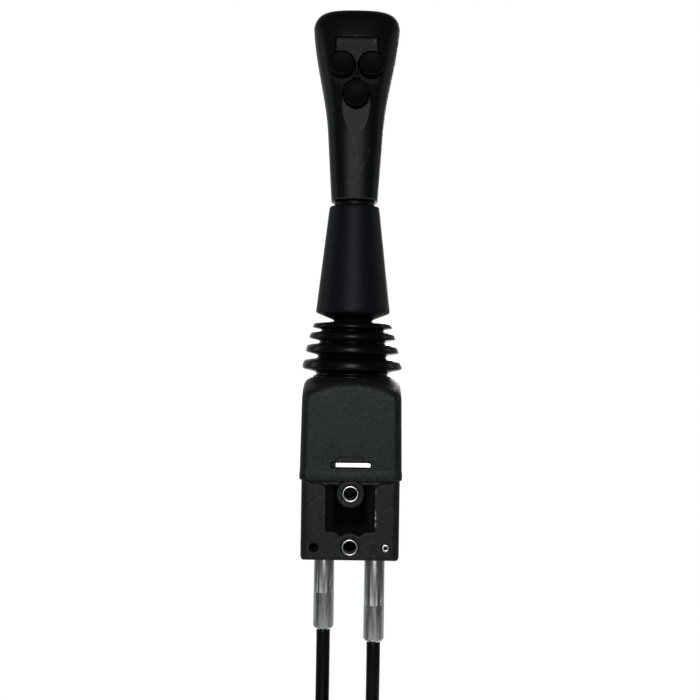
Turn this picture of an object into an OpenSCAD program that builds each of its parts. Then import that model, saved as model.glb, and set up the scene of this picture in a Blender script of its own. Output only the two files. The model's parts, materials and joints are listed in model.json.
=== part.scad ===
// Two-axis cable joystick: a cast base with two M8 mounting sleeves and two push-pull
// cables, a gimbal under a bellows, and a hand grip with three push buttons.
// Millimetres. The origin is on the mounting face, midway between the two bores;
// X is to the right, Y to the rear and Z up.

/* [Base] */
// Width of the cast base
base_w = 62; // [61:0.5:63]
// Depth of the cast base, front to mounting face
base_d = 64; // [64:0.5:66]
// Height of the base's deck above the middle of the mounting bores
deck_z = 24.8; // [24.4:0.1:25.4]
// Depth of the base's underside below the middle of the mounting bores
sole_z = 25; // [25:0.5:27]
// Distance between the two mounting bores
bolt_pitch = 33.5; // [33:0.5:34]
// Bore of the mounting sleeves
bolt_bore_d = 8.4; // [8.2:0.1:8.8]
// Outside diameter of the mounting sleeves
sleeve_d = 10; // [9.8:0.1:10.4]
// Half the width of the window in the base's front
window_half_w = 15.2; // [14.5:0.1:15.4]

/* [Cover] */
// Half the width of the cover under its domed top
cover_half_w = 31.3; // [31.2:0.1:31.8]
// How much further out the cover stands at its lower edge
cover_draft = 0.9; // [0.5:0.1:1.2]
// Radius of the dome that shapes the cover's top
dome_r = 68; // [67:0.5:72]
// Height of the dome's middle
dome_top_z = 94; // [93.5:0.1:95]
// Radius of the opening for the lever
opening_r = 21.5; // [21:0.1:21.6]

/* [Lever and gimbal] */
// Height of the lever's pivot
pivot_z = 71; // [70.6:0.1:71.2]
// Outside diameter of the lever's tube
tube_d = 12; // [11:0.5:12]
// Running clearance of pins in their bushes, on radius
running = 0.04; // [0.02:0.01:0.08]
// Lower radius of the conical shroud
shroud_low_r = 24.2; // [23.5:0.1:25]
// Upper radius of the conical shroud
shroud_top_r = 16.2; // [15.8:0.1:17]
// Height of the shroud's lower rim
shroud_low_z = 131.5; // [131:0.5:133]
// Height of the shroud's top
shroud_top_z = 200.6; // [199:0.2:202]

/* [Cables] */
// Distance of each cable from the middle of the base
cable_x = 16.1; // [16:0.1:16.2]
// Distance of the cables in front of the lever's axis
cable_y = 16; // [15.8:0.1:16.2]
// Outside diameter of the cables
cable_d = 8.7; // [8.4:0.1:8.8]
// Outside diameter of the cables' end fittings
fitting_d = 13; // [12.6:0.1:13]
// Lower end of the left fitting, below the middle of the bores
left_fitting_z = 71; // [66:0.5:74]
// Lower end of the right fitting, below the middle of the bores
right_fitting_z = 78.8; // [74:0.5:80]
// Height of the coils' middle, below the middle of the mounting bores
coil_depth = 192; // [186:1:200]
// Number of turns in each coil
coil_turns = 6; // [6:2:6]

/* [Grip] */
// Height of the grip's lower end
grip_low_z = 203.8; // [203.6:0.1:204.5]
// Height of the grip's widest section
grip_wide_z = 315; // [313:0.5:316]
// Height of the grip's top
grip_top_z = 325; // [324:0.2:327]
// Thickness of the grip's shells
grip_wall = 2.6; // [2.2:0.1:3]
// Diameter of the button caps
cap_d = 16; // [15.6:0.1:16.2]
// Travel of the buttons
button_travel = 2; // [1.5:0.1:2]
// Upward tilt of the button panel in degrees
panel_tilt = 10; // [8:0.5:12]

/* [Hidden] */
$fn = 48;
axis_y = -base_d / 2;
bore_z = bolt_pitch / 2;
dome_z = dome_top_z - dome_r;
cavity_half = 24.4;
frame_half = 27.9;
frame_top_z = 80.4;
roof_z = 85.5;
screw_r = 24.2;
socket_top_z = -8.5;
pin_x = 22.5;
pin_z = -17;
pin_d = 4.6;
pin_inner_y = -8;
bush_d = 9;
trunnion_d = 6;
hub_pin_d = 5;
core_d = 4;
slot_gap = 0.4;
fork_t = 3;
coil_z = -coil_depth;
coil_outer_r = 53;
coil_inner_r = coil_outer_r - cable_d;
far_fitting_h = 44;
far_rod_h = 34;
switch_d = 17.6;
stem_end = -9.8;

// ---- shared forms ----

module at_axis() {
    translate([0, axis_y, 0]) children();
}

// A shape drawn in X and Z, standing from y0 to y1
module along_y(y0, y1) {
    translate([0, y1, 0]) rotate([90, 0, 0]) linear_extrude(y1 - y0) children();
}

// A shape drawn in Y and Z, standing from x0 to x1
module along_x(x0, x1) {
    translate([x0, 0, 0]) rotate([90, 0, 90]) linear_extrude(x1 - x0) children();
}

module rod_y(d, y0, y1, x = 0, z = 0) {
    translate([x, y1, z]) rotate([90, 0, 0]) cylinder(d = d, h = y1 - y0);
}

module rod_x(d, x0, x1, y = 0, z = 0) {
    translate([x0, y, z]) rotate([0, 90, 0]) cylinder(d = d, h = x1 - x0);
}

module rod_z(d, z0, z1, x = 0, y = 0) {
    translate([x, y, z0]) cylinder(d = d, h = z1 - z0);
}

module block(x0, x1, y0, y1, z0, z1) {
    translate([x0, y0, z0]) cube([x1 - x0, y1 - y0, z1 - z0]);
}

module rounded_rect(w, d, r) {
    square([w - 2 * r, d], center = true);
    square([w, d - 2 * r], center = true);
    for (x = [-1, 1], y = [-1, 1])
        translate([x * (w / 2 - r), y * (d / 2 - r)]) circle(r);
}

// A closed skin over a list of rings that all have the same number of points
module loft(rings) {
    n = len(rings[0]);
    m = len(rings);
    points = concat([for (ring = rings) each ring], [middle(rings[0]), middle(rings[m - 1])]);
    sides = [for (i = [0:m - 2], j = [0:n - 1]) let (k = (j + 1) % n) each [
        [i * n + j, (i + 1) * n + j, (i + 1) * n + k],
        [i * n + j, (i + 1) * n + k, i * n + k],
    ]];
    low = [for (j = [0:n - 1]) [m * n, j, (j + 1) % n]];
    high = [for (j = [0:n - 1]) [m * n + 1, (m - 1) * n + (j + 1) % n, (m - 1) * n + j]];
    polyhedron(points = points, faces = concat(low, sides, high));
}

function middle(ring) = [for (p = ring) 1 / len(ring)] * ring;
function mix(a, b, t) = a + (b - a) * t;
function unit(v) = v / norm(v);
function ease(t) = let (u = max(0, min(1, t))) u * u * (3 - 2 * u);

// ---- base ----

module window_outline() {
    lobe_x = 11.3;
    lobe_z = -12.6;
    lobe_r = 5.7;
    floor_z = -13;
    top_z = 22;
    difference() {
        translate([-window_half_w, floor_z]) square([2 * window_half_w, top_z - floor_z]);
        translate([0, -bore_z]) circle(9.1);
        for (s = [-1, 1]) {
            translate([s * lobe_x, lobe_z]) circle(lobe_r);
            translate([s * (lobe_x + 5), floor_z]) square([10, 2 * (lobe_z + lobe_r - floor_z)], center = true);
        }
    }
}

// Step that lets the front pads stand proud, with their inner top corners rounded
module pad_step_outline() {
    pad_top_z = 23.1;
    pad_outer_x = 26.2;
    corner_r = 4.5;
    translate([-pad_outer_x, pad_top_z]) square([2 * pad_outer_x, 5]);
    translate([-window_half_w, 15]) square([2 * window_half_w, 10]);
    for (s = [-1, 1])
        difference() {
            translate([s * (window_half_w + corner_r / 2), pad_top_z - corner_r / 2])
                square(corner_r + 0.02, center = true);
            translate([s * (window_half_w + corner_r), pad_top_z - corner_r]) circle(corner_r);
        }
}

module base_block() {
    edge_r = 5;
    foot_r = 2;
    h = sole_z + deck_z;
    intersection() {
        translate([0, 0, -sole_z]) linear_extrude(h) rounded_rect(base_w, base_d, edge_r);
        along_y(-base_d, base_d)
            translate([0, -sole_z + h]) rounded_rect(base_w, 2 * h, foot_r);
        along_x(-base_w, base_w)
            translate([0, -sole_z + h]) rounded_rect(base_d, 2 * h, foot_r);
    }
}

// Upright box that carries the gimbal inside the cover
module gimbal_frame() {
    intersection() {
        difference() {
            translate([0, 0, deck_z - 1]) linear_extrude(frame_top_z - deck_z + 1)
                rounded_rect(2 * frame_half, 2 * frame_half, 3);
            translate([0, 0, deck_z]) linear_extrude(frame_top_z)
                rounded_rect(2 * cavity_half, 2 * cavity_half, 2);
        }
        translate([0, 0, dome_z]) sphere(dome_r - 3.6, $fn = 96);
    }
}

module base_body() {
    front = -base_d / 2;
    color("#2d2f30") at_axis() difference() {
        union() {
            difference() {
                union() {
                    base_block();
                    gimbal_frame();
                }
                along_y(front - 1, base_d / 2 - 8) window_outline();
                along_y(front - 1, front + 1.4) pad_step_outline();
            }
            // bosses that guide the cables' cores
            for (s = [-1, 1]) rod_z(12.6, -12, deck_z - 1, s * cable_x, -cable_y);
            intersection() {
                rod_y(17.4, front, base_d / 2 - 4, 0, bore_z);
                block(-10, 10, front - 1, base_d / 2, 0, deck_z);
            }
        }
        for (s = [-1, 1]) {
            rod_y(sleeve_d, front - 1, base_d, 0, s * bore_z);
            rod_y(sleeve_d + 1.6, front - 1, front + 0.8, 0, s * bore_z);
            rod_z(fitting_d, -sole_z - 1, socket_top_z, s * cable_x, -cable_y);
            rod_z(9, socket_top_z - 1, deck_z + 1, s * cable_x, -cable_y);
            rod_y(pin_d, front - 1, pin_inner_y, s * pin_x, pin_z);
            rod_y(pin_d + 1, front - 1, s < 0 ? front + 7 : front + 1.2, s * pin_x, pin_z);
            rod_x(bush_d, s > 0 ? 0 : -40, s > 0 ? 40 : 0, 0, pivot_z);
            rod_y(bush_d, s > 0 ? 0 : -40, s > 0 ? 40 : 0, 0, pivot_z);
        }
        // collar line round the lower bore
        difference() {
            rod_y(14.8, front - 1, front + 0.6, 0, -bore_z);
            rod_y(13.8, front - 2, front + 2, 0, -bore_z);
        }
    }
}

module mount_sleeve(z) {
    color("silver") difference() {
        rod_y(sleeve_d, -base_d - 0.2, 0, 0, z);
        rod_y(bolt_bore_d, -base_d - 1, 1, 0, z);
    }
}

module lock_pin(side, recess) {
    front = -base_d / 2 + recess;
    color("silver") at_axis() difference() {
        rod_y(pin_d, front, pin_inner_y, side * pin_x, pin_z);
        rod_y(2.2, front - 1, pin_inner_y + 1, side * pin_x, pin_z);
    }
}

// ---- cover ----

// Outline of the cover with rounded corners, flat at the mounting face
function cover_ring(half, corner) = [for (q = [0:3], j = [0:11])
    let (
        straight = j > 6,
        a = q * 90 + (straight ? 90 : j * 15),
        c = half - corner,
        sx = q == 0 || q == 3 ? 1 : -1,
        sy = q < 2 ? 1 : -1,
        cx = sx * c,
        cy = sy * (c + 1),
        nx = (q == 1 || q == 2 ? (q == 1 ? -c : c) : (q == 0 ? -c : c)),
        ny = (q == 1 ? -(c + 1) : q == 3 ? c + 1 : cy),
        t = straight ? (j - 6) / 6 : 0,
        px = mix(cx, nx, t) + corner * cos(a),
        py = mix(cy, ny, t) + corner * sin(a)
    ) [px, min(py, base_d / 2)]];

function dome_at(p) = dome_z + sqrt(dome_r * dome_r - p[0] * p[0] - p[1] * p[1]);

function cover_side_ring(z, grow) =
    let (half = cover_half_w + cover_draft * (1 - (z - deck_z) / 55) + grow)
    [for (p = cover_ring(half, 5.5)) [p[0], p[1], z]];

function cover_edge_ring(angle, r) =
    let (inset = r * (1 - cos(angle)), drop = r * (1 - sin(angle)))
    [for (p = cover_ring(cover_half_w - inset, 5.5 - inset / 2)) [p[0], p[1], dome_at(p) - drop]];

function cover_top_ring(t, r) = [for (p = cover_ring(cover_half_w - r, 5.5 - r / 2))
    let (k = (opening_r + 0.6) / norm(p), q = [mix(p[0], p[0] * k, t), mix(p[1], p[1] * k, t)])
    [q[0], q[1], dome_at(q)]];

module cover_skin() {
    edge_r = 3.2;
    loft(concat(
        [for (g = [[0, -0.9], [0.5, -0.25], [1.3, 0.15], [4.5, 0.2], [6.5, 0], [40, 0]])
            cover_side_ring(deck_z + g[0], g[1])],
        [for (a = [0:22.5:90]) cover_edge_ring(a, edge_r)],
        [for (t = [0.35, 0.7, 1]) cover_top_ring(t, edge_r)]
    ));
}

module latch_relief() {
    polygon([[-9.5, 36], [8.2, 36], [8.2, 37.6], [6.8, 39.8], [-8.2, 39.8], [-9.5, 38]]);
    polygon([[-7.8, 29.6], [6.8, 29.6], [7.2, 34], [-8.2, 34]]);
}

module housing_cover() {
    front = -cover_half_w - cover_draft - 1;
    slot_z = 35;
    color("#34373a") at_axis() difference() {
        cover_skin();
        intersection() {
            translate([0, -0.45, deck_z - 1]) linear_extrude(roof_z - deck_z + 1)
                rounded_rect(2 * frame_half + 0.8, 2 * frame_half + 1.7, 3);
            translate([0, 0, dome_z]) sphere(dome_r - 2.9, $fn = 96);
        }
        rod_z(2 * opening_r, roof_z - 1, dome_top_z);
        along_y(front - 5, -frame_half) translate([0, slot_z]) rounded_rect(24.8, 4, 1.9);
        along_y(front - 5, front + 1.5) latch_relief();
        for (a = [0:90:270]) rotate(a) rod_z(2.5, roof_z - 1, roof_z + 1.8, screw_r, 0);
    }
}

// Spring strip whose nose stands in the cover's slot
module cover_latch() {
    color("gainsboro") at_axis() {
        block(-12, 12, -frame_half - 0.8, -frame_half, 30, 42);
        translate([1.4, 0, 35]) along_y(-cover_half_w - 1.2, -frame_half - 0.4)
            rounded_rect(21.6, 2.5, 0.6);
    }
}

// ---- bushes, bellows and retainer ----

module bush_ring() {
    difference() {
        rod_x(bush_d, cavity_half, frame_half);
        rod_x(trunnion_d + 2 * running, cavity_half - 1, frame_half + 1);
    }
}

module bush_pair(turn) {
    color("goldenrod") at_axis() translate([0, 0, pivot_z])
        for (a = [0, 180]) rotate(turn + a) bush_ring();
}

// Outside of the bellows from the top cuff down, as radius and height
fold_tips = [[25.9, 122.6], [27.9, 115.8], [30.3, 107.2], [32.4, 96.4]];
fold_valleys = [[20.4, 118.6], [21.1, 111.7], [22.2, 101.8], [23.4, 91.2]];

module bellows() {
    skin = 1.7;
    tip = 1.2;
    outside = concat(
        [[14.6, 126.2], [14.6, 124.9]],
        [for (i = [0:3]) each [
            [fold_tips[i][0] - 0.8, fold_tips[i][1] + tip],
            [fold_tips[i][0], fold_tips[i][1] + tip / 3],
            [fold_tips[i][0], fold_tips[i][1] - tip / 3],
            [fold_tips[i][0] - 0.8, fold_tips[i][1] - tip],
            fold_valleys[i],
        ]],
        [[23.4, 90.35], [21.4, 90.35]]
    );
    inside = [for (i = [len(outside) - 1:-1:0]) [outside[i][0] - skin, outside[i][1]]];
    flange = [[21.4, 85.4], [26.4, 85.4], [26.4, 83.9], [19.7, 83.9]];
    color("#1b1c1e") at_axis() difference() {
        rotate_extrude($fn = 96) polygon(concat(outside, flange, inside));
        for (a = [0:90:270]) rotate(a) rod_z(3, 83, 86, screw_r, 0);
    }
}

module bellows_retainer() {
    color("silver") at_axis() difference() {
        rod_z(54, 82.5, 83.9);
        rod_z(39.4, 82, 85);
        for (a = [0:90:270]) rotate(a) rod_z(3, 82, 85, screw_r, 0);
    }
}

module retainer_screws() {
    color("silver") at_axis() for (a = [0:90:270]) rotate(a) {
        rod_z(2.5, 82.5, roof_z + 1.8, screw_r, 0);
        difference() {
            rod_z(4.4, 80.8, 82.5, screw_r, 0);
            translate([screw_r, 0, 80.7]) linear_extrude(0.9) square([0.8, 5], center = true);
        }
    }
}

// ---- cable fittings, cables and coils ----

// Tube with a hexagonal crimp at its cable end, standing on z = 0 at that end
module fitting(length, bore_depth) {
    crimp_h = 23.5;
    crimp_af = 11.6;
    difference() {
        union() {
            rod_z(fitting_d, crimp_h, length);
            intersection() {
                cylinder(d = crimp_af / cos(30), h = crimp_h + 0.5, $fn = 6);
                rotate_extrude() polygon([[0, 0], [5.1, 0], [6.5, 1.6], [6.5, crimp_h + 0.5], [0, crimp_h + 0.5]]);
            }
        }
        rod_z(core_d + 2 * running, length - bore_depth, length + 1);
    }
}

module cable_fitting(side, low_z) {
    color("silver") at_axis() difference() {
        translate([side * cable_x, -cable_y, -low_z]) fitting(low_z + socket_top_z, low_z + socket_top_z - 12);
        rod_y(pin_d, -base_d, pin_inner_y, side * pin_x, pin_z);
    }
}

// Each coil is two turns deep, and lies just in front of or behind the cables
coil_half_y = coil_turns / 2 * cable_d / 2;
coil_mid_y = 0.15 + coil_half_y;
coil_offset_x = coil_outer_r - cable_x;
tail_x = cable_x - cable_d;
tail_y = coil_mid_y + coil_half_y + cable_d / 2 + 0.6;
far_z = coil_z - 50;

// Route of a cable from its fitting down to the side of its coil
function lead_route(side, low_z) = [
    [side * cable_x, -cable_y, -low_z],
    [side * cable_x, -cable_y, -92],
    [side * cable_x, -cable_y + side * 0.8, -104],
    [side * cable_x, -cable_y + side * 2.3, -115],
    [side * cable_x, -cable_y + side * 3.7, -126],
    [side * cable_x, -cable_y + side * 4.5, -138],
    [side * cable_x, -cable_y + side * 4.5, -156],
    [side * cable_x, -cable_y + side * 4.5, -176],
];

// Route of a cable from its coil down to the far fitting
function tail_route(side) = [
    for (a = [270:12:354]) [
        side * (coil_inner_r * cos(a) - coil_offset_x),
        -cable_y + side * (tail_y - 1.2 * ease((354 - a) / 84)),
        coil_z - coil_inner_r * sin(a)
    ],
    [side * tail_x, -cable_y + side * tail_y, coil_z - 8],
    [side * tail_x, -cable_y + side * tail_y, far_z],
];

module cord(route) {
    n = 10;
    m = len(route);
    loft([for (i = [0:m - 1])
        let (
            d = unit(route[min(i + 1, m - 1)] - route[max(i - 1, 0)]),
            u = unit([0, 1, 0] - d[1] * d),
            v = cross(d, u)
        )
        [for (j = [0:n - 1]) route[i] + cable_d / 2 * (cos(j * 360 / n) * u + sin(j * 360 / n) * v)]
    ]);
}

module cable(side, low_z) {
    color("#202225") at_axis() cord(lead_route(side, low_z));
}

module cable_coil(side) {
    color("#202225") at_axis()
        translate([-side * coil_offset_x, -cable_y + side * coil_mid_y, coil_z])
            rotate([90, 0, 0]) rotate_extrude($fn = 72)
                translate([(coil_outer_r + coil_inner_r) / 2, 0]) rounded_rect(2 * cable_d, 2 * coil_half_y, 4);
}

module cable_end(side) {
    color("#202225") at_axis() cord(tail_route(side));
}

module at_far_end(side) {
    at_axis() translate([side * tail_x, -cable_y + side * tail_y, far_z]) mirror([0, 0, 1]) children();
}

module far_fitting(side) {
    color("silver") at_far_end(side) fitting(far_fitting_h, far_fitting_h - 6);
}

module tie_band(w, h, depth) {
    linear_extrude(depth, center = true) difference() {
        rounded_rect(w + 3, h + 3, 4);
        rounded_rect(w, h, 3);
    }
}

// Band that binds the two coils where they cross, and one round each coil's far side
module coil_ties() {
    half_band = 2;
    in_r = coil_inner_r - cable_d / 2;
    out_r = coil_outer_r + cable_d / 2;
    low = sqrt(in_r * in_r - pow(coil_offset_x + half_band, 2)) - 0.3;
    high = sqrt(out_r * out_r - pow(coil_offset_x - half_band, 2)) + 0.3;
    both_coils = 4 * coil_half_y + 1.2;
    color("#191a1c") at_axis() translate([0, -cable_y, coil_z]) {
        translate([0, 0, -(low + high) / 2]) rotate([0, 90, 0]) tie_band(high - low, both_coils, 2 * half_band);
        for (s = [-1, 1]) translate([-s * (coil_offset_x + (in_r + out_r) / 2), s * coil_mid_y, 0])
            tie_band(out_r - in_r + 0.8, 2 * coil_half_y + 0.6, 5);
    }
}

// ---- gimbal ----

module gimbal_yoke() {
    color("#8d9094") at_axis() translate([0, 0, pivot_z]) difference() {
        union() {
            difference() {
                translate([0, 0, -3.5]) linear_extrude(7) rounded_rect(24, 20, 2);
                block(-8.5, 8.5, -6.5, 6.5, -5, 5);
            }
            // arm with an open fork for the left core
            block(-cable_x - fork_t / 2, -cable_x + fork_t / 2, -19.5, 4, -4.5, 4.5);
            block(-cable_x, -10, -8, 4, -3.5, 3.5);
        }
        block(-40, -cable_x + 5, -25, -cable_y + core_d / 2 + 1, -core_d / 2 - slot_gap, core_d / 2 + slot_gap);
        rod_x(trunnion_d, -40, 40);
        rod_y(hub_pin_d, -20, 20);
    }
}

module yoke_pins() {
    color("silver") at_axis() translate([0, 0, pivot_z]) {
        rod_x(trunnion_d, 8.7, frame_half - 0.4);
        rod_x(trunnion_d, -frame_half + 0.4, -8.7);
    }
}

module hub_pin() {
    color("silver") at_axis() rod_y(hub_pin_d, -10, 10, 0, pivot_z);
}

module side_rocker() {
    arm_in = 20.9;
    arm_out = 23.9;
    tail_gap = 0.7;
    color("#8d9094") at_axis() translate([0, 0, pivot_z]) difference() {
        union() {
            for (s = [-1, 1]) {
                y0 = s > 0 ? arm_in : -arm_out;
                rod_y(13, y0, y0 + 3);
                block(-5.3, 5.3, y0, y0 + 3, -20, 0);
            }
            block(-5.3, 5.3, -arm_out, arm_out, -20, -16.5);
            // arm with an open fork for the right core
            block(4, 8.5, -arm_in - 1, -cable_y + fork_t / 2, -4.5, 4.5);
            block(4, 19.5, -cable_y - fork_t / 2, -cable_y + fork_t / 2, -4.5, 4.5);
        }
        block(cable_x - core_d / 2 - 1, 30, -cable_y - 4, -cable_y + 4, -core_d / 2 - slot_gap, core_d / 2 + slot_gap);
        block(-3 - tail_gap, 3 + tail_gap, -11.5, 11.5, -25, -10);
        rod_y(trunnion_d, -30, 30);
    }
}

module rocker_pins() {
    color("silver") at_axis() translate([0, 0, pivot_z]) {
        rod_y(trunnion_d, 20.9, frame_half - 0.4);
        rod_y(trunnion_d, -frame_half + 0.4, -20.9);
    }
}

// Rod that slides in a cable's fitting, with a fork end; turn sets the pin's direction
module core_rod(side, turn) {
    color("silver") at_axis() translate([side * cable_x, -cable_y, 0]) {
        rod_z(core_d, -50, pivot_z - 8.5);
        translate([0, 0, pivot_z]) rotate(turn) difference() {
            block(-4.4, 4.4, -4, 4, -9, 4);
            block(-1.9, 1.9, -5, 5, -6.6, 5);
            rod_x(core_d, -10, 10);
        }
    }
}

module core_pin(side, turn) {
    color("silver") at_axis() translate([side * cable_x, -cable_y, pivot_z]) rotate(turn)
        rod_x(core_d, -4.6, 4.6);
}

module lock_nut(z) {
    difference() {
        translate([0, 0, z]) cylinder(d = 7 / cos(30), h = 3.2, $fn = 6);
        rod_z(core_d, z - 1, z + 5);
    }
}

module core_nut(side) {
    color("silver") at_axis() translate([side * cable_x, -cable_y, 0]) lock_nut(pivot_z - 12.2);
}

module far_rod(side) {
    color("silver") at_far_end(side) rod_z(core_d, 12.5, far_fitting_h + far_rod_h);
}

module far_nuts(side) {
    color("silver") at_far_end(side) for (z = [-11.2, -7.2]) lock_nut(far_fitting_h + far_rod_h + z);
}

// ---- lever ----

module lever_hub() {
    color("#8d9094") at_axis() translate([0, 0, pivot_z]) difference() {
        union() {
            translate([0, 0, -8]) linear_extrude(17) rounded_rect(12, 12, 3);
            rod_z(14, 8.5, 12);
            rod_z(6, 11, 26);
        }
        rod_y(hub_pin_d + 2 * running, -10, 10);
        rod_z(5, -9, -3.5);
    }
}

module lever_tail() {
    color("silver") at_axis() translate([0, 0, pivot_z]) {
        rod_z(5, -8.1, -3.5);
        rod_z(6, -24, -8);
    }
}

module lever_tube() {
    color("silver") at_axis() difference() {
        rod_z(tube_d, pivot_z + 12, 252);
        rod_z(6, pivot_z + 11, 253);
    }
}

module lever_shroud() {
    wall = 2.4;
    color("#22252a") at_axis() rotate_extrude($fn = 96) polygon([
        [12.5, 121], [12.5, 126.3], [13.4, 126.7], [22.8, 130.5], [23.9, 131.1],
        [shroud_low_r, shroud_low_z + 0.8], [shroud_top_r + 0.1, shroud_top_z - 0.9],
        [shroud_top_r - 0.3, shroud_top_z - 0.25], [shroud_top_r - 1, shroud_top_z],
        [tube_d / 2, shroud_top_z], [tube_d / 2, shroud_top_z - 4],
        [shroud_top_r - wall, shroud_top_z - 4], [shroud_low_r - wall, shroud_low_z + 2.2],
        [10.9, 128.4], [10.9, 121],
    ]);
}

module grip_lock_ring() {
    r = 13.1;
    color("#17181a") at_axis() rotate_extrude() polygon([
        [tube_d / 2, shroud_top_z], [r - 0.5, shroud_top_z], [r, shroud_top_z + 0.5],
        [r, grip_low_z - 0.5], [r - 0.5, grip_low_z], [tube_d / 2, grip_low_z],
    ]);
}

// ---- grip ----

function grip_rise(z) = (z - grip_low_z) / (grip_wide_z - grip_low_z);
function crown(z) = z <= grip_wide_z ? 1 :
    sqrt(max(0, 1 - pow((z - grip_wide_z) / (grip_top_z - grip_wide_z), 2)));

function grip_half_w(z) = z <= grip_wide_z
    ? 15.25 + 7 * grip_rise(z) + 5.85 * ease((grip_rise(z) - 0.4) / 0.6)
    : 19 + 9.1 * crown(z);
function grip_front(z) = z <= grip_wide_z
    ? 17 + 1.3 * grip_rise(z) + 6.2 * ease((grip_rise(z) - 0.36) / 0.32)
    : 13 + 11.5 * crown(z);
function grip_rear(z) = z <= grip_wide_z
    ? 17 + 2.5 * ease(grip_rise(z))
    : 10 + 9.5 * crown(z);

function signed_pow(v, e) = (v < 0 ? -1 : 1) * pow(abs(v), e);

// One section of the grip, drawn in by the given distance
function grip_ring(z, inset, n) = [for (j = [0:n - 1])
    let (
        a = (j + 0.5) * 360 / n,
        e = 2 / 2.7,
        c = signed_pow(cos(a), e),
        s = signed_pow(sin(a), e),
        deep = s < 0 ? grip_front(z) : grip_rear(z)
    ) [c * (grip_half_w(z) - inset), s * (deep - inset), z]];

module grip_skin() {
    n = 40;
    loft(concat(
        [grip_ring(grip_low_z, 0.9, n), grip_ring(grip_low_z + 0.4, 0.25, n)],
        [for (i = [0:15]) grip_ring(mix(grip_low_z + 1.2, grip_wide_z, i / 15), 0, n)],
        [for (a = [15:15:90]) grip_ring(mix(grip_wide_z, grip_top_z, sin(a)), 0, n)]
    ));
}

module grip_hollow() {
    n = 24;
    low = grip_low_z + 3;
    loft(concat(
        [for (i = [0:10]) grip_ring(mix(low, grip_wide_z - 1, i / 10), grip_wall, n)],
        [for (a = [25, 50, 70]) grip_ring(mix(grip_wide_z - 1, grip_top_z - grip_wall, sin(a)), grip_wall, n)]
    ));
}

// Places on the grip's front, as distance before the lever's axis and height
panel_at = [22, 288.1];
pocket_depth = 2.4;
upper_button_x = 9.5;
upper_button = [panel_at[0] - pocket_depth * cos(panel_tilt), panel_at[1] - pocket_depth * sin(panel_tilt)];
lower_button_at = [18.5, 268.9];

// Moves children to a place on the panel, with their Z pointing out of it and Y up it
module on_panel(x, place) {
    at_axis() translate([x, -place[0], place[1]]) rotate([90 - panel_tilt, 0, 0]) children();
}

// Room over the panel, wider towards the front and closed above by the hood
module panel_space() {
    low = -12;
    loft([for (g = [[15.5, 0, 19], [21.5, 14, 12.7]])
        [[-g[0], low, g[1]], [g[0], low, g[1]], [g[0], g[2], g[1]], [-g[0], g[2], g[1]]]]);
}

// Finger pocket of an upper button, drawn out below it
module button_pocket() {
    translate([0, -2.1, 0]) linear_extrude(12) rounded_rect(cap_d + 1, cap_d + 5.2, cap_d / 2 + 0.49);
}

module lower_space() {
    rod_z(cap_d + 1, 0, 12);
    // groove that runs out below the lower button
    translate([0, 0, 1.1]) multmatrix([[1, 0, 0, 0], [0, 1, 0, 0], [0, 0.278, 1, 0]])
        linear_extrude(12) polygon([[-8.9, 0], [-8.9, -6.5], [-3.7, -21], [3.7, -21], [8.9, -6.5], [8.9, 0]]);
}

screw_places = [[-10.8, 226], [10.8, 226], [-16, 307], [16, 307]];

// The grip's hollow less the ribs, bosses and panel backing that stay solid
module grip_inside() {
    difference() {
        grip_hollow();
        for (z = [214, 240]) translate([0, 0, z]) linear_extrude(2.5) square(80, center = true);
        for (p = screw_places) rod_y(8.8, -15, 40, p[0], p[1]);
        translate([0, -axis_y, 0]) {
            on_panel(0, upper_button) block(-40, 40, -14.5, 40, -3.2, 40);
            on_panel(0, lower_button_at) {
                block(-11, 11, -24, 9.5, -3.2, 40);
                block(-11, 11, -24, -9, -5.4, 40);
            }
        }
    }
}

module grip_shell(y0, y1) {
    intersection() {
        difference() {
            grip_skin();
            grip_inside();
            rod_z(tube_d, grip_low_z - 1, 252.4);
        }
        block(-40, 40, y0, y1, 190, 340);
    }
}

parting_y = 1;

module grip_front_shell() {
    color("#1e201f") difference() {
        at_axis() grip_shell(-40, parting_y);
        on_panel(0, panel_at) panel_space();
        on_panel(0, lower_button_at) lower_space();
        for (s = [-1, 1]) on_panel(s * upper_button_x, upper_button) {
            button_pocket();
            rod_z(cap_d + 0.6, -5, 5);
            rod_z(switch_d, -14.2, -3.2);
        }
        on_panel(0, lower_button_at) rod_z(cap_d + 0.6, -5, 5);
        at_axis() for (p = screw_places) rod_y(3, -7, 2, p[0], p[1]);
    }
}

module grip_rear_shell() {
    color("#1e201f") at_axis() difference() {
        grip_shell(parting_y, 40);
        for (p = screw_places) {
            rod_y(3.2, 0, 40, p[0], p[1]);
            rod_y(6.4, 9, 40, p[0], p[1]);
        }
    }
}

module grip_screws() {
    color("silver") at_axis() for (p = screw_places) {
        rod_y(3, -6, 9, p[0], p[1]);
        difference() {
            rod_y(5.8, 9, 11.6, p[0], p[1]);
            along_y(10.4, 12) translate(p) circle(d = 2.9, $fn = 6);
        }
    }
}

module push_switch() {
    color("#2a2c30") difference() {
        rod_z(switch_d, -14.2, -3.2);
        rod_z(cap_d + 0.6, -3.6, -3);
        rod_z(8.6, -6.8, -3);
        rod_z(5 + 2 * running, stem_end - button_travel - 0.6, -3);
    }
    color("gold") for (x = [-3.5, 3.5]) block(x - 0.4, x + 0.4, -1.4, 1.4, -17.4, -14.2);
}

module button_spring() {
    color("silver") difference() {
        rod_z(7.8, -6.8, -1);
        rod_z(6.2, -7, 0);
    }
}

module button_cap(proud) {
    edge = 0.8;
    r = cap_d / 2;
    color("#26282a") {
        difference() {
            rotate_extrude() polygon([
                [0, -1], [r, -1], [r, proud - edge], [r - edge * 0.3, proud - edge * 0.3], [r - edge, proud], [0, proud],
            ]);
            translate([0, 0, proud + 29.2]) sphere(30, $fn = 96);
        }
        rod_z(5, stem_end, -0.5);
    }
}

// ---- nodes ----

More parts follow.
